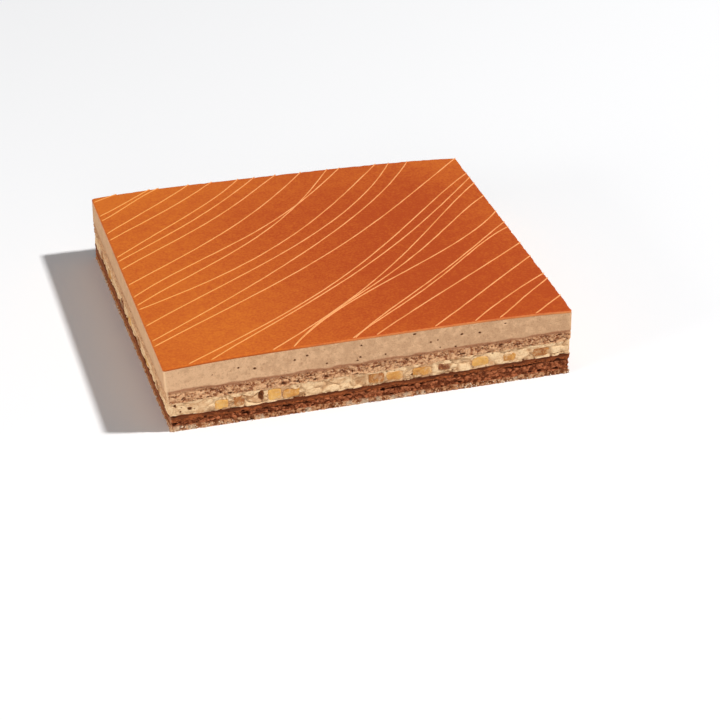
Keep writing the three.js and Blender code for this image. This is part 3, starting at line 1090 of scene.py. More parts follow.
@dataclass(frozen=True)
class PearCream(CutLayer):
    """The pear cream: flat-cut pale curds with creases between them, open over the dice."""

    dice: tuple["PearDie", ...] = ()
    inset: float = 0.3
    crease_depth: float = 0.9
    dent_depth: float = 0.9
    pore_depth: float = 0.5
    spot_depth: float = 1.4

    name = "pear_cream_curds"
    slot = "pear_cream"
    nodes = ("pear_cream",)
    lower = OVER_CHOCOLATE
    upper = OVER_CREAM
    finish = CREAM
    spots = known_spots(
        (-72.6, 16.8, 2.3, 4.2), (-117.8, 14.9, 1.6, 1.1), (-126.8, 17.8, 1.1, 1.3),
        (-123.8, 13.4, 1.0, 0.9), (25.8, 15.5, 1.5, 1.0), (126.0, 14.2, 2.2, 0.7),
    )

    def relief(self, grid: SideGrid) -> tuple[Array, Tones]:
        """Curds of two sizes cut flat, uneven creases, known hollows and dents at the dice.

        Args:
            grid: The layer's even side.

        Returns:
            How far each point stands out in mm, and its tones.
        """
        wavy = warp(grid.points * [0.62, 0.62, 1.0], 3.4, 1.3, 83)
        border, pick = crumble(wavy, 5.6, 81)
        fine_border, fine_pick = crumble(wavy, 2.2, 86)
        deep_here = ease(rough_noise(grid.points, 8.0, 88), -0.35, 0.4)
        crease = ease(border, 0.65, 0.0) * (0.3 + 0.7 * deep_here)
        crumbly = ease(rough_noise(grid.points, 6.0, 89), 0.0, 0.4)
        crease = np.maximum(crease, 0.7 * crumbly * ease(fine_border, 0.35, 0.0))
        pores = bubbles(grid.points, 3.0, (0.4, 1.0), 0.3, 91) * (1 - 0.5 * grid.smear)
        spots = deepest(self.spots, grid)
        wobble = 0.9 * rough_noise(grid.points, 3.4, 95)
        dents = np.max([die.cover(grid, wobble) for die in self.dice], axis=0)
        curd = 0.5 * (pick - 1) + 0.25 * crumbly * (fine_pick - 1)
        stand_out = curd - self.inset - self.crease_depth * crease
        stand_out = stand_out - self.pore_depth * pores - self.spot_depth * spots
        stand_out = blend(stand_out, -self.inset - self.dent_depth, dents)
        # Painted shade in the creases, pores and known pits.
        hollow = np.clip(0.15 * crease + 0.7 * ease(pores, 0.1, 0.8) + ease(spots, 0, 0.5), 0, 1)
        # In this band the creases are painted shade; the rest is the curds' own golden tone.
        ragged = 0.75 + 0.6 * rough_noise(grid.points, 1.6, 97)
        golden = 0.75 * crease * ragged + 0.5 * crumbly * (1 - fine_pick) + 0.4 * dents
        golden = np.clip(golden, 0, 1)
        lift = 1.4 * (pick - 0.25) + 0.9 * rough_noise(wavy, 1.2, 96)
        return stand_out, {"hollow": hollow, "band": golden, "lift": lift}


@dataclass(frozen=True)
class ChocolateLayer(CutLayer):
    """The chocolate layer: dense, with a dark line along its top and a foot broken off."""

    inset: float = 0.4
    crumb: float = 0.5
    swell: float = 0.15
    chip_depth: float = 0.8
    crack_depth: float = 0.3

    name = "chocolate_band"
    slot = "chocolate"
    nodes = ("chocolate_layer",)
    lower = OVER_CRUNCH
    upper = OVER_CHOCOLATE
    finish = CHOCOLATE

    def relief(self, grid: SideGrid) -> tuple[Array, Tones]:
        """Nearly flat above, with a drag of the knife; its lower half broken into crumb.

        Args:
            grid: The layer's even side.

        Returns:
            How far each point stands out in mm, and its tones.
        """
        slow = self.swell * soft_noise(grid.points, 12.0, 101)
        drag = rough_noise(grid.points * [0.35, 0.35, 1.5], 2.2, 102)
        chips = bubbles(grid.points * [0.6, 0.6, 1.0], 3.0, (0.5, 1.4), 0.5, 105)
        broken = ease(grid.share - 0.6 * ease(grid.points[..., 0], -60.0, -110.0), 0.7, 0.25)
        chips = chips * broken * (1 - grid.smear)
        border, pick = crumble(warp(grid.points * [0.8, 0.8, 1.0], 1.8, 0.5, 113), 1.7, 107)
        crumbly = ease(grid.share + 0.25 * drag, 0.62, 0.3) * (1 - 0.5 * grid.smear)
        crack = ease(border, 0.3, 0.02) * crumbly
        line = ease(grid.share + 0.12 * drag, 0.6, 0.9) * (1 - 0.5 * grid.smear)
        stand_out = slow + self.swell * drag - self.inset - self.chip_depth * chips
        stand_out += self.crumb * crumbly * (pick - 1) - self.crack_depth * crack
        # Painted shade in the chips and cracks.
        hollow = np.clip(0.8 * ease(chips, 0.1, 0.7) + 0.4 * crack, 0, 1)
        lift = drag * (1 - crumbly) + crumbly * (0.4 + 1.4 * pick)
        return stand_out, {"hollow": hollow, "band": line, "lift": lift}


@dataclass(frozen=True)
class CocoaCrunch(CutLayer):
    """The cocoa crunch: broken crumb with deep gaps, most of them under the chocolate."""

    inset: float = 0.5
    crumb: float = 0.9
    gap_depth: float = 1.3
    crack_depth: float = 0.4

    name = "cocoa_crunch_crumb"
    slot = "cocoa_crunch"
    nodes = ("cocoa_crunch",)
    lower = OVER_BASE
    upper = OVER_CRUNCH
    finish = CRUNCH
    spots = known_spots(
        (-83.0, 5.4, 3.4, 0.7), (-70.0, 7.2, 3.4, 0.7), (-56.0, 6.2, 4.4, 0.7),
        (-43.3, 6.6, 1.7, 0.6), (-18.0, 7.4, 3.0, 0.6), (13.6, 8.0, 6.6, 0.7),
        (25.8, 8.2, 1.6, 0.6), (31.7, 8.2, 1.8, 0.6),
    )

    def relief(self, grid: SideGrid) -> tuple[Array, Tones]:
        """Broken crumbs, each standing out by its own amount, with gaps between them.

        Args:
            grid: The layer's even side.

        Returns:
            How far each point stands out in mm, and its tones.
        """
        calm = 1 - 0.5 * grid.smear
        border, pick = crumble(warp(grid.points * [0.8, 0.8, 1.0], 1.8, 0.5, 113), 1.7, 111)
        rough = rough_noise(grid.points, 1.6, 115)
        gaps = bubbles(grid.points * [0.5, 0.5, 1.2], 2.8, (0.5, 1.3), 0.35, 118)
        split = ease(grid.share, 0.72, 0.98) * ease(soft_noise(grid.points, 9.0, 121), 0.0, 0.5)
        gaps = np.clip(np.maximum(gaps, 0.9 * split), 0, 1) * calm
        gaps = np.maximum(gaps, deepest(self.spots, grid))
        crack = ease(border, 0.3, 0.02)
        stand_out = self.crumb * (pick + 0.4 * rough - 1.0) * calm - self.inset
        stand_out = np.minimum(stand_out - self.crack_depth * crack, -0.1) - self.gap_depth * gaps
        # Painted shade in the gaps and cracks.
        hollow = np.clip(ease(gaps, 0.1, 0.7) + 0.35 * crack, 0, 1) * calm
        return stand_out, {"hollow": hollow, "lift": 1.6 * (pick - 0.45) + 0.6 * rough}


@dataclass(frozen=True)
class CrumbBase(CutLayer):
    """The crumb base: ragged brown crumb with whitish drifts, a little wider at the floor."""

    inset: float = 0.2
    draw_in: float = 0.3
    crumb: float = 0.8
    bite_depth: float = 0.9
    drift_radius: float = 4.5
    known_up_to: float = 40.0

    name = "crumb_base_edge"
    slot = "pale_crumb"
    nodes = ("crumb_base",)
    lower = FLOOR
    upper = OVER_BASE
    finish = BASE
    drifts = (-126.0, -118.7, -72.9, -44.0, -15.4, -6.3, 3.5, 12.7, 21.3, 31.9)

    def whitened(self, grid: SideGrid) -> Array:
        """Where the crumb is whitish: round known places at the front, elsewhere in drifts.

        Args:
            grid: The layer's even side.

        Returns:
            The shares, of the shape of the grid.
        """
        along = grid.along(Side.FRONT)
        off = np.abs(along[..., None] - np.array(self.drifts))
        known = np.max(1 - off / self.drift_radius, axis=-1)
        known = np.where(along > self.known_up_to, soft_noise(grid.points, 9.0, 134), known)
        drifts = grid.front_or(known, soft_noise(grid.points, 9.0, 133))
        low = ease(grid.share, 1.1, 0.5)
        return low * ease(0.8 * drifts + 0.9 * rough_noise(grid.points, 2.2, 136), 0.15, 0.75)

    def relief(self, grid: SideGrid) -> tuple[Array, Tones]:
        """Ragged crumbs, drawn in towards the top, with bites out of them.

        Args:
            grid: The layer's even side.

        Returns:
            How far each point stands out in mm, and its tones.
        """
        border, pick = crumble(warp(grid.points, 1.6, 0.4, 137), 1.5, 131)
        rough = rough_noise(grid.points, 1.6, 135)
        bites = bubbles(grid.points, 4.2, (0.7, 1.9), 0.4, 138) * (1 - 0.5 * grid.smear)
        stand_out = self.crumb * (pick + 0.4 * rough - 1.0) - self.bite_depth * bites
        stand_out = np.minimum(stand_out, 0) - self.inset - self.draw_in * grid.share
        # Painted shade in the bites and the cracks between crumbs.
        hollow = np.clip(0.8 * ease(bites, 0.1, 0.8) + 0.35 * ease(border, 0.25, 0.02), 0, 1)
        lift = 1.6 * (pick - 0.5) + 0.6 * rough
        return stand_out, {"hollow": hollow, "lift": lift, "band": self.whitened(grid)}


# ------------------------------------------------------------------ pear dice


@dataclass(frozen=True)
class PearDie:
    """One die of pear that the knife cut through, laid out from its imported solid's box."""

    node: str
    side: Side
    place: float
    bottom: float
    width: float
    height: float
    tone: PearTone
    seed: int

    overlap: ClassVar[float] = 0.5
    softness: ClassVar[float] = 0.35

    @classmethod
    def from_node(cls, plan: Plan, node: str, tone: PearTone) -> "PearDie":
        """Reads a die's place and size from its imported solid.

        Args:
            plan: The plan of the cake.
            node: The name of the solid, which ends with the side that the die shows at.
            tone: How dark it is.

        Returns:
            The die.
        """
        low, high = (np.array(corner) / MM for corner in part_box(node))
        number, side_name = node.split("_")[-2:]
        side = Side[side_name.upper()]
        middle = plan.straightened((low + high) / 2)
        out_x, out_y = side.value
        along = -out_y * middle[0] + out_x * middle[1]
        size = high - low
        width = size[0] if out_y else size[1]
        return cls(node, side, along, low[2], width, size[2], tone, int(number))

    def cover(self, grid: SideGrid, wobble: Array) -> Array:
        """How far the cream opens over the die: 1 over its face and 0 beyond its edges.

        The cream overlaps the die a little, and the opening's edge is soft.

        Args:
            grid: The cream's even side.
            wobble: How far the opening's edge wanders at each point, in mm.

        Returns:
            The shares, of the shape of the grid.
        """
        off_x = np.abs(grid.along(self.side) - self.place) - self.width / 2 + self.overlap
        off_z = np.abs(grid.points[..., 2] - self.bottom - self.height / 2) - self.height / 2
        edge = np.maximum(off_x, off_z + self.overlap) + wobble
        cover = ease(edge, self.softness, -self.softness)
        return np.where(grid.on_side(self.side), cover, 0)


@dataclass(frozen=True)
class PearDice:
    """All the dice of pear, in one mesh.

    Formula: a die is a tube of rings that runs out of the cake. Each ring is a rounded
    rectangle |x/a|^n + |z/b|^n = 1. The rings keep their size from the back to the cut, then
    shrink over the cut face, which is softly rounded at its edge.
    """

    plan: Plan
    dice: tuple[PearDie, ...]
    columns: int = 44
    squareness: float = 4.5
    sunk: float = 0.35
    uneven: float = 0.35
    taper: float = 0.2
    lean: float = 0.15
    side_gap: float = 0.2
    ring_sizes: tuple[float, ...] = (0.86, 0.97, 1.0, 1.0, 0.99, 0.96, 0.9, 0.8, 0.62, 0.4, 0.15)
    ring_depths: tuple[float, ...] = (9.0, 8.6, 7.0, 3.0, 0.9, 0.4, 0.14, 0.05, 0.02, 0.0, 0.0)

    def build(self) -> Piece:
        """The finished piece."""
        angle = turns(self.columns)
        square = np.abs(np.cos(angle)) ** self.squareness + np.abs(np.sin(angle)) ** self.squareness
        ring = np.stack([np.cos(angle), np.sin(angle)], axis=-1)
        ring /= square[:, None] ** (1 / self.squareness)
        rings = ring * np.array(self.ring_sizes)[:, None, None]
        points = np.stack([self.points(die, rings) for die in self.dice])
        points += self.uneven * soft_noise(points, 3.0, 141)[..., None]
        amber = np.array([die.tone.value for die in self.dice])[:, None, None]
        tones = {"amber": np.broadcast_to(amber, points.shape[:-1])}
        faces = tube_faces(len(self.ring_sizes), self.columns, len(self.dice))
        piece = make_piece("pear_dice", self.plan.drifted(points), faces, tones)
        return settle(piece, PEAR, [die.node for die in self.dice])

    def points(self, die: PearDie, rings: Array) -> Array:
        """The points of one die on the true plan.

        Args:
            die: The die.
            rings: The rings of a die of half size 1, (levels, columns, 2).

        Returns:
            The points in mm, (levels, columns, 3).
        """
        out = np.array([*die.side.value, 0.0])
        right = np.array([-out[1], out[0], 0.0])
        up = np.array([0.0, 0.0, 1.0])
        lean, taper = (scramble(np.full(3, die.seed), 150 + k) - 0.5 for k in (0, 1))
        across = rings[..., 0] * (1 + self.taper * taper * rings[..., 1])
        across = across + self.lean * lean * rings[..., 1]
        half_side = (self.plan.depth if out[1] else self.plan.width) / 2
        depths = half_side - self.sunk - np.array(self.ring_depths)[:, None]
        return (
            right * (die.place + across * (die.width / 2 - self.side_gap))[..., None]
            + up * (die.bottom + (rings[..., 1] + 1) * die.height / 2)[..., None]
            + out * np.broadcast_to(depths, across.shape)[..., None]
        )


# ------------------------------------------------------------------ glaze and drizzle


@dataclass(frozen=True)
class CaramelGlaze:
    """The glaze: a thin crowned sheet with a softly rounded lip.

    Formula: the top is an even grid over the rectangle, whose four corner squares are drawn in
    to quarter circles, q -> q * max(qx, qy) / |q|. At the back and at the right, where the
    knife came out, noise chips its rim. From the rim a quarter-circle lip and a short wall go
    down to the mousse.
    """

    plan: Plan
    thickness: float = 1.6
    lip: float = 0.7
    grid_pitch: float = 1.2
    wave: float = 0.05
    chip_depth: float = 0.6
    lap: float = 0.1
    slump: float = 0.25
    foot_rings: tuple[tuple[float, float], ...] = ((3.0, 1.0), (0.25, 1.0), (0.05, 0.8))
    lip_steps: int = 4

    def build(self) -> Piece:
        """The finished piece."""
        top, rim = self.top_grid()
        walls = self.walls(top.reshape(-1, 3)[rim])
        levels = len(walls) + 1
        quads, foot, _ = tube_faces(levels, len(rim))
        first = walls.shape[0] * walls.shape[1]
        # The last ring of the wall is the rim of the grid, whose points come after the walls'.
        quads = np.where(quads >= first, first + rim[(quads - first) % len(rim)], quads)
        rows, columns = top.shape[:2]
        start = (np.arange(rows - 1)[:, None] * columns + np.arange(columns - 1)).ravel()
        sheet = first + np.stack([start, start + 1, start + columns + 1, start + columns], -1)
        points = np.concatenate([walls.reshape(-1, 3), top.reshape(-1, 3)])
        near_foot = np.zeros(len(points))
        near_foot[:first] = np.repeat(np.linspace(1.0, 0.0, len(walls)), len(rim))
        tones = {"thin": self.thin(points), **self.edge_tones(points, near_foot)}
        faces = [sheet, quads, foot]
        piece = make_piece("caramel_glaze_sheet", self.plan.drifted(points), faces, tones)
        return settle(piece, GLAZE, ["caramel_glaze"])

    def top_grid(self) -> tuple[Array, Array]:
        """The top's points (rows, columns, 3) and the numbers of its rim, against the clock."""
        half = np.array([self.plan.width, self.plan.depth]) / 2 - self.lip
        counts = np.round(2 * half / self.grid_pitch).astype(int) + 1
        x, y = np.meshgrid(*(np.linspace(-h, h, n) for h, n in zip(half, counts, strict=True)))
        places = np.stack([x, y], axis=-1)
        inner = half - (self.plan.corner_radius - self.lip)
        past = np.clip(np.abs(places) - inner, 0, None)
        length = np.maximum(np.hypot(past[..., 0], past[..., 1]), 1e-9)
        drawn = past * (past.max(axis=-1) / length)[..., None]
        places = np.sign(places) * (np.minimum(np.abs(places), inner) + drawn)
        points = raised(places, self.plan.crown(places[..., 0]))
        chipped = self.chip_depth * ease(rough_noise(points, 4.0, 163), -0.1, 0.6)
        at_rim = ease(places / half, 0.975, 1.0) * chipped[..., None]
        points[..., :2] -= at_rim
        points[..., 2] += self.wave * rough_noise(points, 28.0, 161)
        numbers = np.arange(points.shape[0] * points.shape[1]).reshape(points.shape[:2])
        sides = [numbers[0, :-1], numbers[:-1, -1], numbers[-1, :0:-1], numbers[:0:-1, 0]]
        return points, np.concatenate(sides)

    def walls(self, rim: Array) -> Array:
        """The rings below the rim, from the glaze's foot up, (levels, columns, 3).

        Args:
            rim: The rim of the top grid, (columns, 3).

        Returns:
            The rings.
        """
        half = np.array([self.plan.width, self.plan.depth]) / 2
        past = np.clip(np.abs(rim[:, :2]) - (half - self.plan.corner_radius), 0, None)
        ways_out = unit(np.sign(rim[:, :2]) * past)
        angles = np.linspace(math.pi / 2, 0, self.lip_steps, endpoint=False)
        outs = [self.lip * math.sin(angle) for angle in angles]
        downs = [self.lip * (1 - math.cos(angle)) for angle in angles]
        # The foot is uneven and laps a little over the mousse. The sheet is tucked in under it.
        foot = self.thickness + self.lap + self.slump * rough_noise(rim, 5.0, 165)
        rings = [(self.lip - tuck, foot * drop) for tuck, drop in self.foot_rings]
        rings += list(zip(outs, downs, strict=True))
        placed = []
        for out, down in rings:
            ring = rim.copy()
            ring[:, :2] += ways_out * out
            ring[:, 2] -= down
            placed.append(ring)
        return np.stack(placed)

    def edge_tones(self, points: Array, near_foot: Array) -> Tones:
        """How the glaze darkens at its foot, and the highlight painted along its lip.

        Args:
            points: The glaze's points in mm, (n, 3).
            near_foot: 0 for a point of the top and 1 for one at the glaze's foot, (n,).

        Returns:
            The tones "edge", strongest at the front's left end, and "lip", a highlight painted
            along the front's right end, the left side and the back.
        """
        half_x, half_y = self.plan.width / 2, self.plan.depth / 2
        rightward = ease(points[:, 0], -70.0, 10.0)
        front = ease(points[:, 1], 3.0 - half_y, 1.0 - half_y)
        left = ease(points[:, 0], 3.0 - half_x, 1.0 - half_x)
        back = ease(points[:, 1], half_y - 3.0, half_y - 1.0)
        darkened = 0.35 + 0.65 * front * (1 - rightward)
        # The highlight painted along the rim.
        rim_highlight = np.maximum.reduce([front * rightward, 0.8 * left * (1 - front), 0.7 * back])
        rim_highlight *= 0.7 + 0.4 * rough_noise(points, 5.0, 168)
        return {"edge": near_foot * darkened * (1 - rim_highlight), "lip": np.sqrt(near_foot) * rim_highlight}

    def thin(self, points: Array) -> Array:
        """How light and yellow the glaze's colour is, from 0 to 1.

        Formula: a low ground tone, plus a long slope up to the left end and narrower ones up to
        the front, the back and the back right corner, less a deeper round patch at the right.

        Args:
            points: The glaze's points in mm, (n, 3).

        Returns:
            The shares, (n).
        """
        x, y = points[:, 0], points[:, 1]
        slopes = 0.62 * ease(x + 0.15 * y, 50.0, -125.0) + 0.03 * ease(y, -96.0, -120.0)
        slopes += 0.28 * ease(y, 60.0, 121.0) + 0.2 * ease(x + 0.3 * y, 100.0, 150.0)
        return 0.1 + slopes - 0.1 * ease(np.hypot(x - 60, y + 60), 70.0, 20.0)


@dataclass(frozen=True)
class Strand:
    """One drizzled strand.

    The start is measured from the back left corner down the left side and on along the front,
    the end from the same corner along the back and on down the right side. The bow is the
    strand's sideways belly, the swing leans it first to one side and then to the other, and
    the curl bends both its ends.
    """

    start: float
    end: float
    bow: float
    swing: float
    curl: float


STRANDS = tuple(
    Strand(*row)
    for row in (
        (6.4, 18, 0, 0, 0), (28.6, 41.5, -0.7, -0.3, 0), (35.8, 47.9, 0.3, -0.7, 0),
        (55.5, 69, -1.6, 0.3, 0), (65.7, 85.7, -3.2, 0.2, 0.3), (91.2, 104.5, -4.5, 0.8, -0.1),
        (97.1, 116.5, -6.1, 0, 0.3), (108.6, 131.7, -7, 0, 0.8), (130.8, 149.9, -10.4, 0, 0.3),
        (147.8, 178.2, -11.9, 1.8, 1.4), (159.1, 169, -16, 1.1, 1.1),
        (164.7, 204.6, -20.6, -2, 0.3), (187, 214.3, -19.2, 2.5, 0.1),
        (206.4, 228.2, -17.6, 1.2, -0.8), (213.3, 262.7, -17.6, -0.3, 0.9),
        (258.3, 289.9, -17.5, -2.5, 1.2), (272.2, 296.7, -14.9, 0.7, 0.7),
        (310.7, 306.7, -11.4, -1.8, 0.7), (324.4, 328.5, -4.6, 1.8, 2.8),
        (324.2, 354, -1.4, 5.2, 0.1), (363.2, 371.9, -2.5, 1, 0.8), (361.8, 380, -2.9, -0.9, 1.5),
        (377.2, 404.6, -1.2, 0.7, 0), (414.8, 425.1, -1, -0.1, 0), (441.2, 451.5, 1.1, 0.1, 0.1),
        (457.5, 458.1, -0.1, 0, -0.3), (481.2, 482.8, -0.1, 0, -0.1),
    )
)


@dataclass(frozen=True)
class Drizzle:
    """The drizzled strands, in one mesh.

    Formula: a strand's middle line is the straight run from its start to its end, laid on the
    crown. With the belly b = 4s(1-s), it is moved sideways by bow * b, by
    swing * b(1-2s) / 0.385 and by curl * b(1-2s)^2 / 0.25. An oval section is carried along
    it, whose lower half is sunk in the glaze.
    """

    plan: Plan
    strands: tuple[Strand, ...] = STRANDS
    width: float = 0.95
    rise: float = 0.4
    sunk: float = 0.25
    start_margin: float = 0.7
    end_margin: float = -0.5
    end_taper: float = 1.2
    swing_peak: float = 0.385
    curl_peak: float = 0.25
    wander: float = 0.2
    uneven: float = 0.16
    bead: float = 0.6
    noise_gap: float = 31.0
    steps: int = 170
    columns: int = 8

    def inside(self, places: Array, margin: float) -> Array:
        """Places (..., 2) kept so far inside the edge of the top, or outside if less than 0."""
        limit = np.array([self.plan.width, self.plan.depth]) / 2 - margin
        return np.where(np.abs(places) > limit - 3, np.sign(places) * limit, places)

    def start_places(self) -> Array:
        """Where the strands start: down the left side, then along the front."""
        distance = np.array([strand.start for strand in self.strands])
        along = np.maximum(0, distance - self.plan.depth)
        x = -self.plan.width / 2 + along
        y = self.plan.depth / 2 - distance + along
        return self.inside(np.stack([x, y], axis=-1), self.start_margin)

    def end_places(self) -> Array:
        """Where the strands end: along the back, then down the right side."""
        distance = np.array([strand.end for strand in self.strands])
        down = np.maximum(0, distance - self.plan.width)
        x = -self.plan.width / 2 + distance - down
        y = self.plan.depth / 2 - down
        return self.inside(np.stack([x, y], axis=-1), self.end_margin)

    def middle_lines(self) -> tuple[Array, Array]:
        """The strands' middle lines on the top, seen from above.

        Returns:
            The points of the lines, (strands, steps, 2), and how far each lies from the nearer
            end of its strand, (strands, steps).
        """
        start, end = self.start_places(), self.end_places()
        run = end - start
        length = np.hypot(run[:, 0], run[:, 1])[:, None]
        aside = np.stack([-run[:, 1], run[:, 0]], axis=-1) / length
        share = np.linspace(0, 1, self.steps)
        belly = 4 * share * (1 - share)
        lean = belly * (1 - 2 * share) / self.swing_peak
        hook = belly * (1 - 2 * share) ** 2 / self.curl_peak
        bends = np.array([(strand.bow, strand.swing, strand.curl) for strand in self.strands])
        off = bends @ np.stack([belly, lean, hook])
        line = start[:, None] + run[:, None] * share[:, None] + aside[:, None] * off[..., None]
        return line, np.minimum(share, 1 - share) * length

    def build(self) -> Piece:
        """The finished piece."""
        line, to_end = self.middle_lines()
        tangent = unit(np.gradient(line, axis=1))
        across = np.stack([-tangent[..., 1], tangent[..., 0]], axis=-1)
        # Each strand reads the noise at a height of its own, so that no two wander alike.
        noise_at = raised(line, np.arange(len(self.strands))[:, None] * self.noise_gap)
        line = line + across * (self.wander * rough_noise(noise_at, 9.0, 171))[..., None]
        taper = np.sqrt(np.clip(to_end / self.end_taper, 0.02, 1))
        beads = self.bead * bubbles(noise_at, 22.0, (1.2, 2.2), 0.5, 175)
        thick = taper * (1 + self.uneven * rough_noise(noise_at, 4.0, 173) + beads)
        angle = turns(self.columns)
        wide = thick[..., None] * np.cos(angle) * self.width / 2
        up = np.where(np.sin(angle) > 0, self.rise, self.sunk) * np.sin(angle)
        places = line[:, :, None] + across[:, :, None] * wide[..., None]
        height = self.plan.crown(places[..., 0]) + thick[..., None] * up
        points = raised(places, height)
        faces = tube_faces(self.steps, self.columns, len(self.strands))
        tones = {"golden": 0.8 * ease(points[..., 0], 0.0, -110.0)}
        points = inside_box(self.plan.drifted(points))
        piece = make_piece("caramel_drizzle", points, faces, tones, 180.0)
        return settle(piece, DRIZZLE, ["caramel_glaze"])


# ------------------------------------------------------------------ shed crumbs


@dataclass(frozen=True)
class ShedCrumbs:
    """Small pale crumbs that hang on the foot of the cake, in one mesh.

    Formula: a crumb is a ball of rings, stretched and dented at random. Places along the foot
    are drawn at random and kept where a slow noise is high, so the crumbs lie in drifts.
    """

    plan: Plan
    draws: int = 900
    radii: tuple[float, float] = (0.25, 0.6)
    climb: float = 2.6
    dent: float = 0.14
    columns: int = 8
    levels: int = 7
    seed: int = 5

    def build(self) -> Piece:
        """The finished piece."""
        rng = np.random.default_rng(self.seed)
        outline = self.plan.outline(0.5)
        pick = rng.integers(0, len(outline.places), self.draws)
        foot = raised(outline.places[pick], 0.0)
        kept = rough_noise(foot, 16.0, 181) + rng.uniform(-0.35, 0.35, self.draws) > 0.02
        pick, count = pick[kept], int(kept.sum())
        radius = blend(*self.radii, rng.random(count) ** 2)
        rise = radius * 0.8 + rng.random(count) ** 1.5 * self.climb
        out = rng.uniform(-0.5, 0.25, count) - radius * 0.6
        centre = raised(outline.places[pick] + outline.ways_out[pick] * out[:, None], rise)
        around = turns(self.columns)
        upward = np.linspace(-0.94, 0.94, self.levels) * math.pi / 2
        flat, up = np.cos(upward)[:, None], np.sin(upward)[:, None]
        ball = [flat * np.cos(around), flat * np.sin(around), np.repeat(up, self.columns, axis=1)]
        stretch = rng.uniform(0.7, 1.25, (count, 1, 1, 3))
        turn = rng.uniform(0, 2 * math.pi, count)[:, None, None]
        shape = np.stack(ball, axis=-1) * stretch * radius[:, None, None, None]
        x = shape[..., 0] * np.cos(turn) - shape[..., 1] * np.sin(turn)
        y = shape[..., 0] * np.sin(turn) + shape[..., 1] * np.cos(turn)
        points = np.stack([x, y, shape[..., 2]], axis=-1) + centre[:, None, None]
        points = inside_box(self.plan.drifted(warp(points, 0.6, self.dent, 185)))
        faces = tube_faces(self.levels, self.columns, count)
        piece = make_piece("shed_crumbs", points, faces, {"lift": np.zeros(points.shape[:-1])})
        return settle(piece, SHED_CRUMB, [])


# ------------------------------------------------------------------ studio


def way_back(azimuth: float, elevation: float) -> Vector:
    """The way from what a camera or a light looks at back to it, from its angles in degrees."""
    turn, tilt = math.radians(azimuth), math.radians(elevation)
    flat = math.cos(tilt)
    return Vector((math.sin(turn) * flat, -math.cos(turn) * flat, math.sin(tilt)))


def set_up(data: bpy.types.ID, place: Vector, back: Vector) -> Piece:
    """Adds a camera or a light.

    Args:
        data: What it is, named as the object will be.
        place: Where it stands, in mm.
        back: The way back from what it looks at.

    Returns:
        The object.
    """
    thing = bpy.data.objects.new(data.name, data)
    thing.location = place * MM
    thing.rotation_mode = "QUATERNION"
    thing.rotation_quaternion = (-back).to_track_quat("-Z", "Y")
    bpy.context.scene.collection.objects.link(thing)
    return thing


@dataclass(frozen=True)
class Camera:
    """The camera, placed by its angles round the point that it looks at, in mm and degrees."""

    azimuth: float = -15.89
    elevation: float = 29.76
    distance: float = 1460.0
    target: tuple[float, float, float] = (-3.45, -106.5, 22.5)
    lens: float = 115.75
    sensor: float = 36.0
    clip: tuple[float, float] = (0.05, 50.0)

    def build(self) -> None:
        """Adds the camera and makes it the scene's own."""
        back = way_back(self.azimuth, self.elevation)
        data = bpy.data.cameras.new("camera")
        data.lens = self.lens
        data.sensor_width = self.sensor
        data.clip_start, data.clip_end = self.clip
        place = Vector(self.target) + back * self.distance
        bpy.context.scene.camera = set_up(data, place, back)


@dataclass(frozen=True)
class SoftBox:
    """A square studio light that faces the cake, placed by its angles, in mm and degrees."""

    name: str
    azimuth: float
    elevation: float
    distance: float
    size: float
    power: float
    colour: str = "#FFFFFF"

    def build(self) -> None:
        """Adds the light."""
        back = way_back(self.azimuth, self.elevation)
        data = bpy.data.lights.new(self.name, "AREA")
        data.shape = "SQUARE"
        data.size = self.size * MM
        data.energy = self.power
        data.color = linear(self.colour)[:3]
        set_up(data, back * self.distance, back)


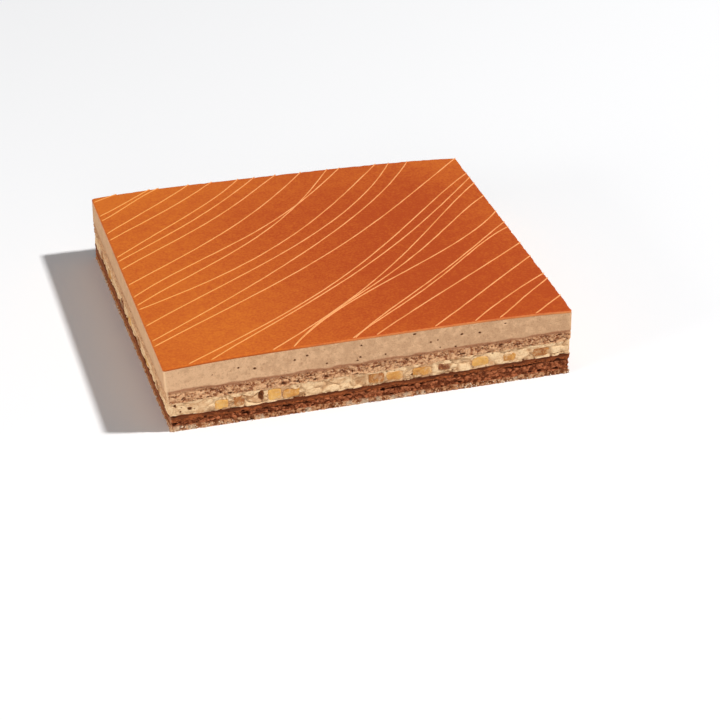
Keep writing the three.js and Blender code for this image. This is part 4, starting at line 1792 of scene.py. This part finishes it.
@dataclass(frozen=True)
class Studio:
    """A plain pale floor, an even pale surround and soft lights."""

    floor_colour: str = "#FDFDFD"
    floor_roughness: float = 0.9
    floor_specular: float = 0.1
    floor_size: float = 12000.0
    surround: str = "#F6F8FF"
    surround_strength: float = 0.165
    lights: tuple[SoftBox, ...] = (
        SoftBox("key", 72.0, 51.0, 6000.0, 420.0, 345.0, "#FFFFFF"),
        SoftBox("fill", -72.0, 12.0, 1800.0, 700.0, 13.8, "#FFFDFA"),
        SoftBox("front", -10.0, 12.0, 1800.0, 700.0, 3.9, "#FFFFFF"),
    )

    def build(self) -> None:
        """Adds the floor, the surround and the lights."""
        half = self.floor_size / 2
        corners = np.array([(-half, -half, 0), (half, -half, 0), (half, half, 0), (-half, half, 0)])
        floor = make_piece("floor", corners, [np.array([[0, 1, 2, 3]])], {})
        material = bpy.data.materials.new("floor_paint")
        material.use_nodes = True
        shader = material.node_tree.nodes["Principled BSDF"]
        shader.inputs["Base Color"].default_value = linear(self.floor_colour)
        shader.inputs["Roughness"].default_value = self.floor_roughness
        shader.inputs["Specular IOR Level"].default_value = self.floor_specular
        floor.data.materials.append(material)
        world = bpy.data.worlds.new("surround")
        world.use_nodes = True
        background = world.node_tree.nodes["Background"]
        background.inputs["Color"].default_value = linear(self.surround)
        background.inputs["Strength"].default_value = self.surround_strength
        bpy.context.scene.world = world
        bpy.context.scene.view_settings.view_transform = "Standard"
        for light in self.lights:
            light.build()


# ------------------------------------------------------------------ the whole cake

# The dice that show at the front, from the left, and the order in which the other sides repeat.
FRONT_TONES = [
    PearTone[name]
    for name in "GOLD BROWN GOLD AMBER BROWN AMBER AMBER DARK GOLD AMBER BROWN".split()
]


def pear_dice(plan: Plan) -> tuple[PearDie, ...]:
    """The dice of pear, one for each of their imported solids.

    Args:
        plan: The plan of the cake.

    Returns:
        The dice, in the order of their names.
    """
    nodes = sorted(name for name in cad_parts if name.startswith("pear_die_"))
    front = len(FRONT_TONES)
    picks = [i if i < front else i * 7 // 5 for i in range(len(nodes))]
    tones = [FRONT_TONES[pick % front] for pick in picks]
    return tuple(PearDie.from_node(plan, *pair) for pair in zip(nodes, tones, strict=True))


def main() -> None:
    """Builds the cake, the studio and the camera, and logs each piece's triangles."""
    logging.basicConfig(level=logging.INFO, format="%(name)s %(message)s")
    plan = Plan()
    dice = pear_dice(plan)
    Camera().build()
    pieces = (
        CaramelGlaze(plan),
        Drizzle(plan),
        CaramelMousse(plan),
        AlmondSponge(plan),
        PearCream(plan, dice=dice),
        PearDice(plan, dice),
        ChocolateLayer(plan),
        CocoaCrunch(plan),
        CrumbBase(plan),
        ShedCrumbs(plan),
    )
    for piece in pieces:
        piece.build()
    Studio().build()


if __name__ == "__main__":
    main()
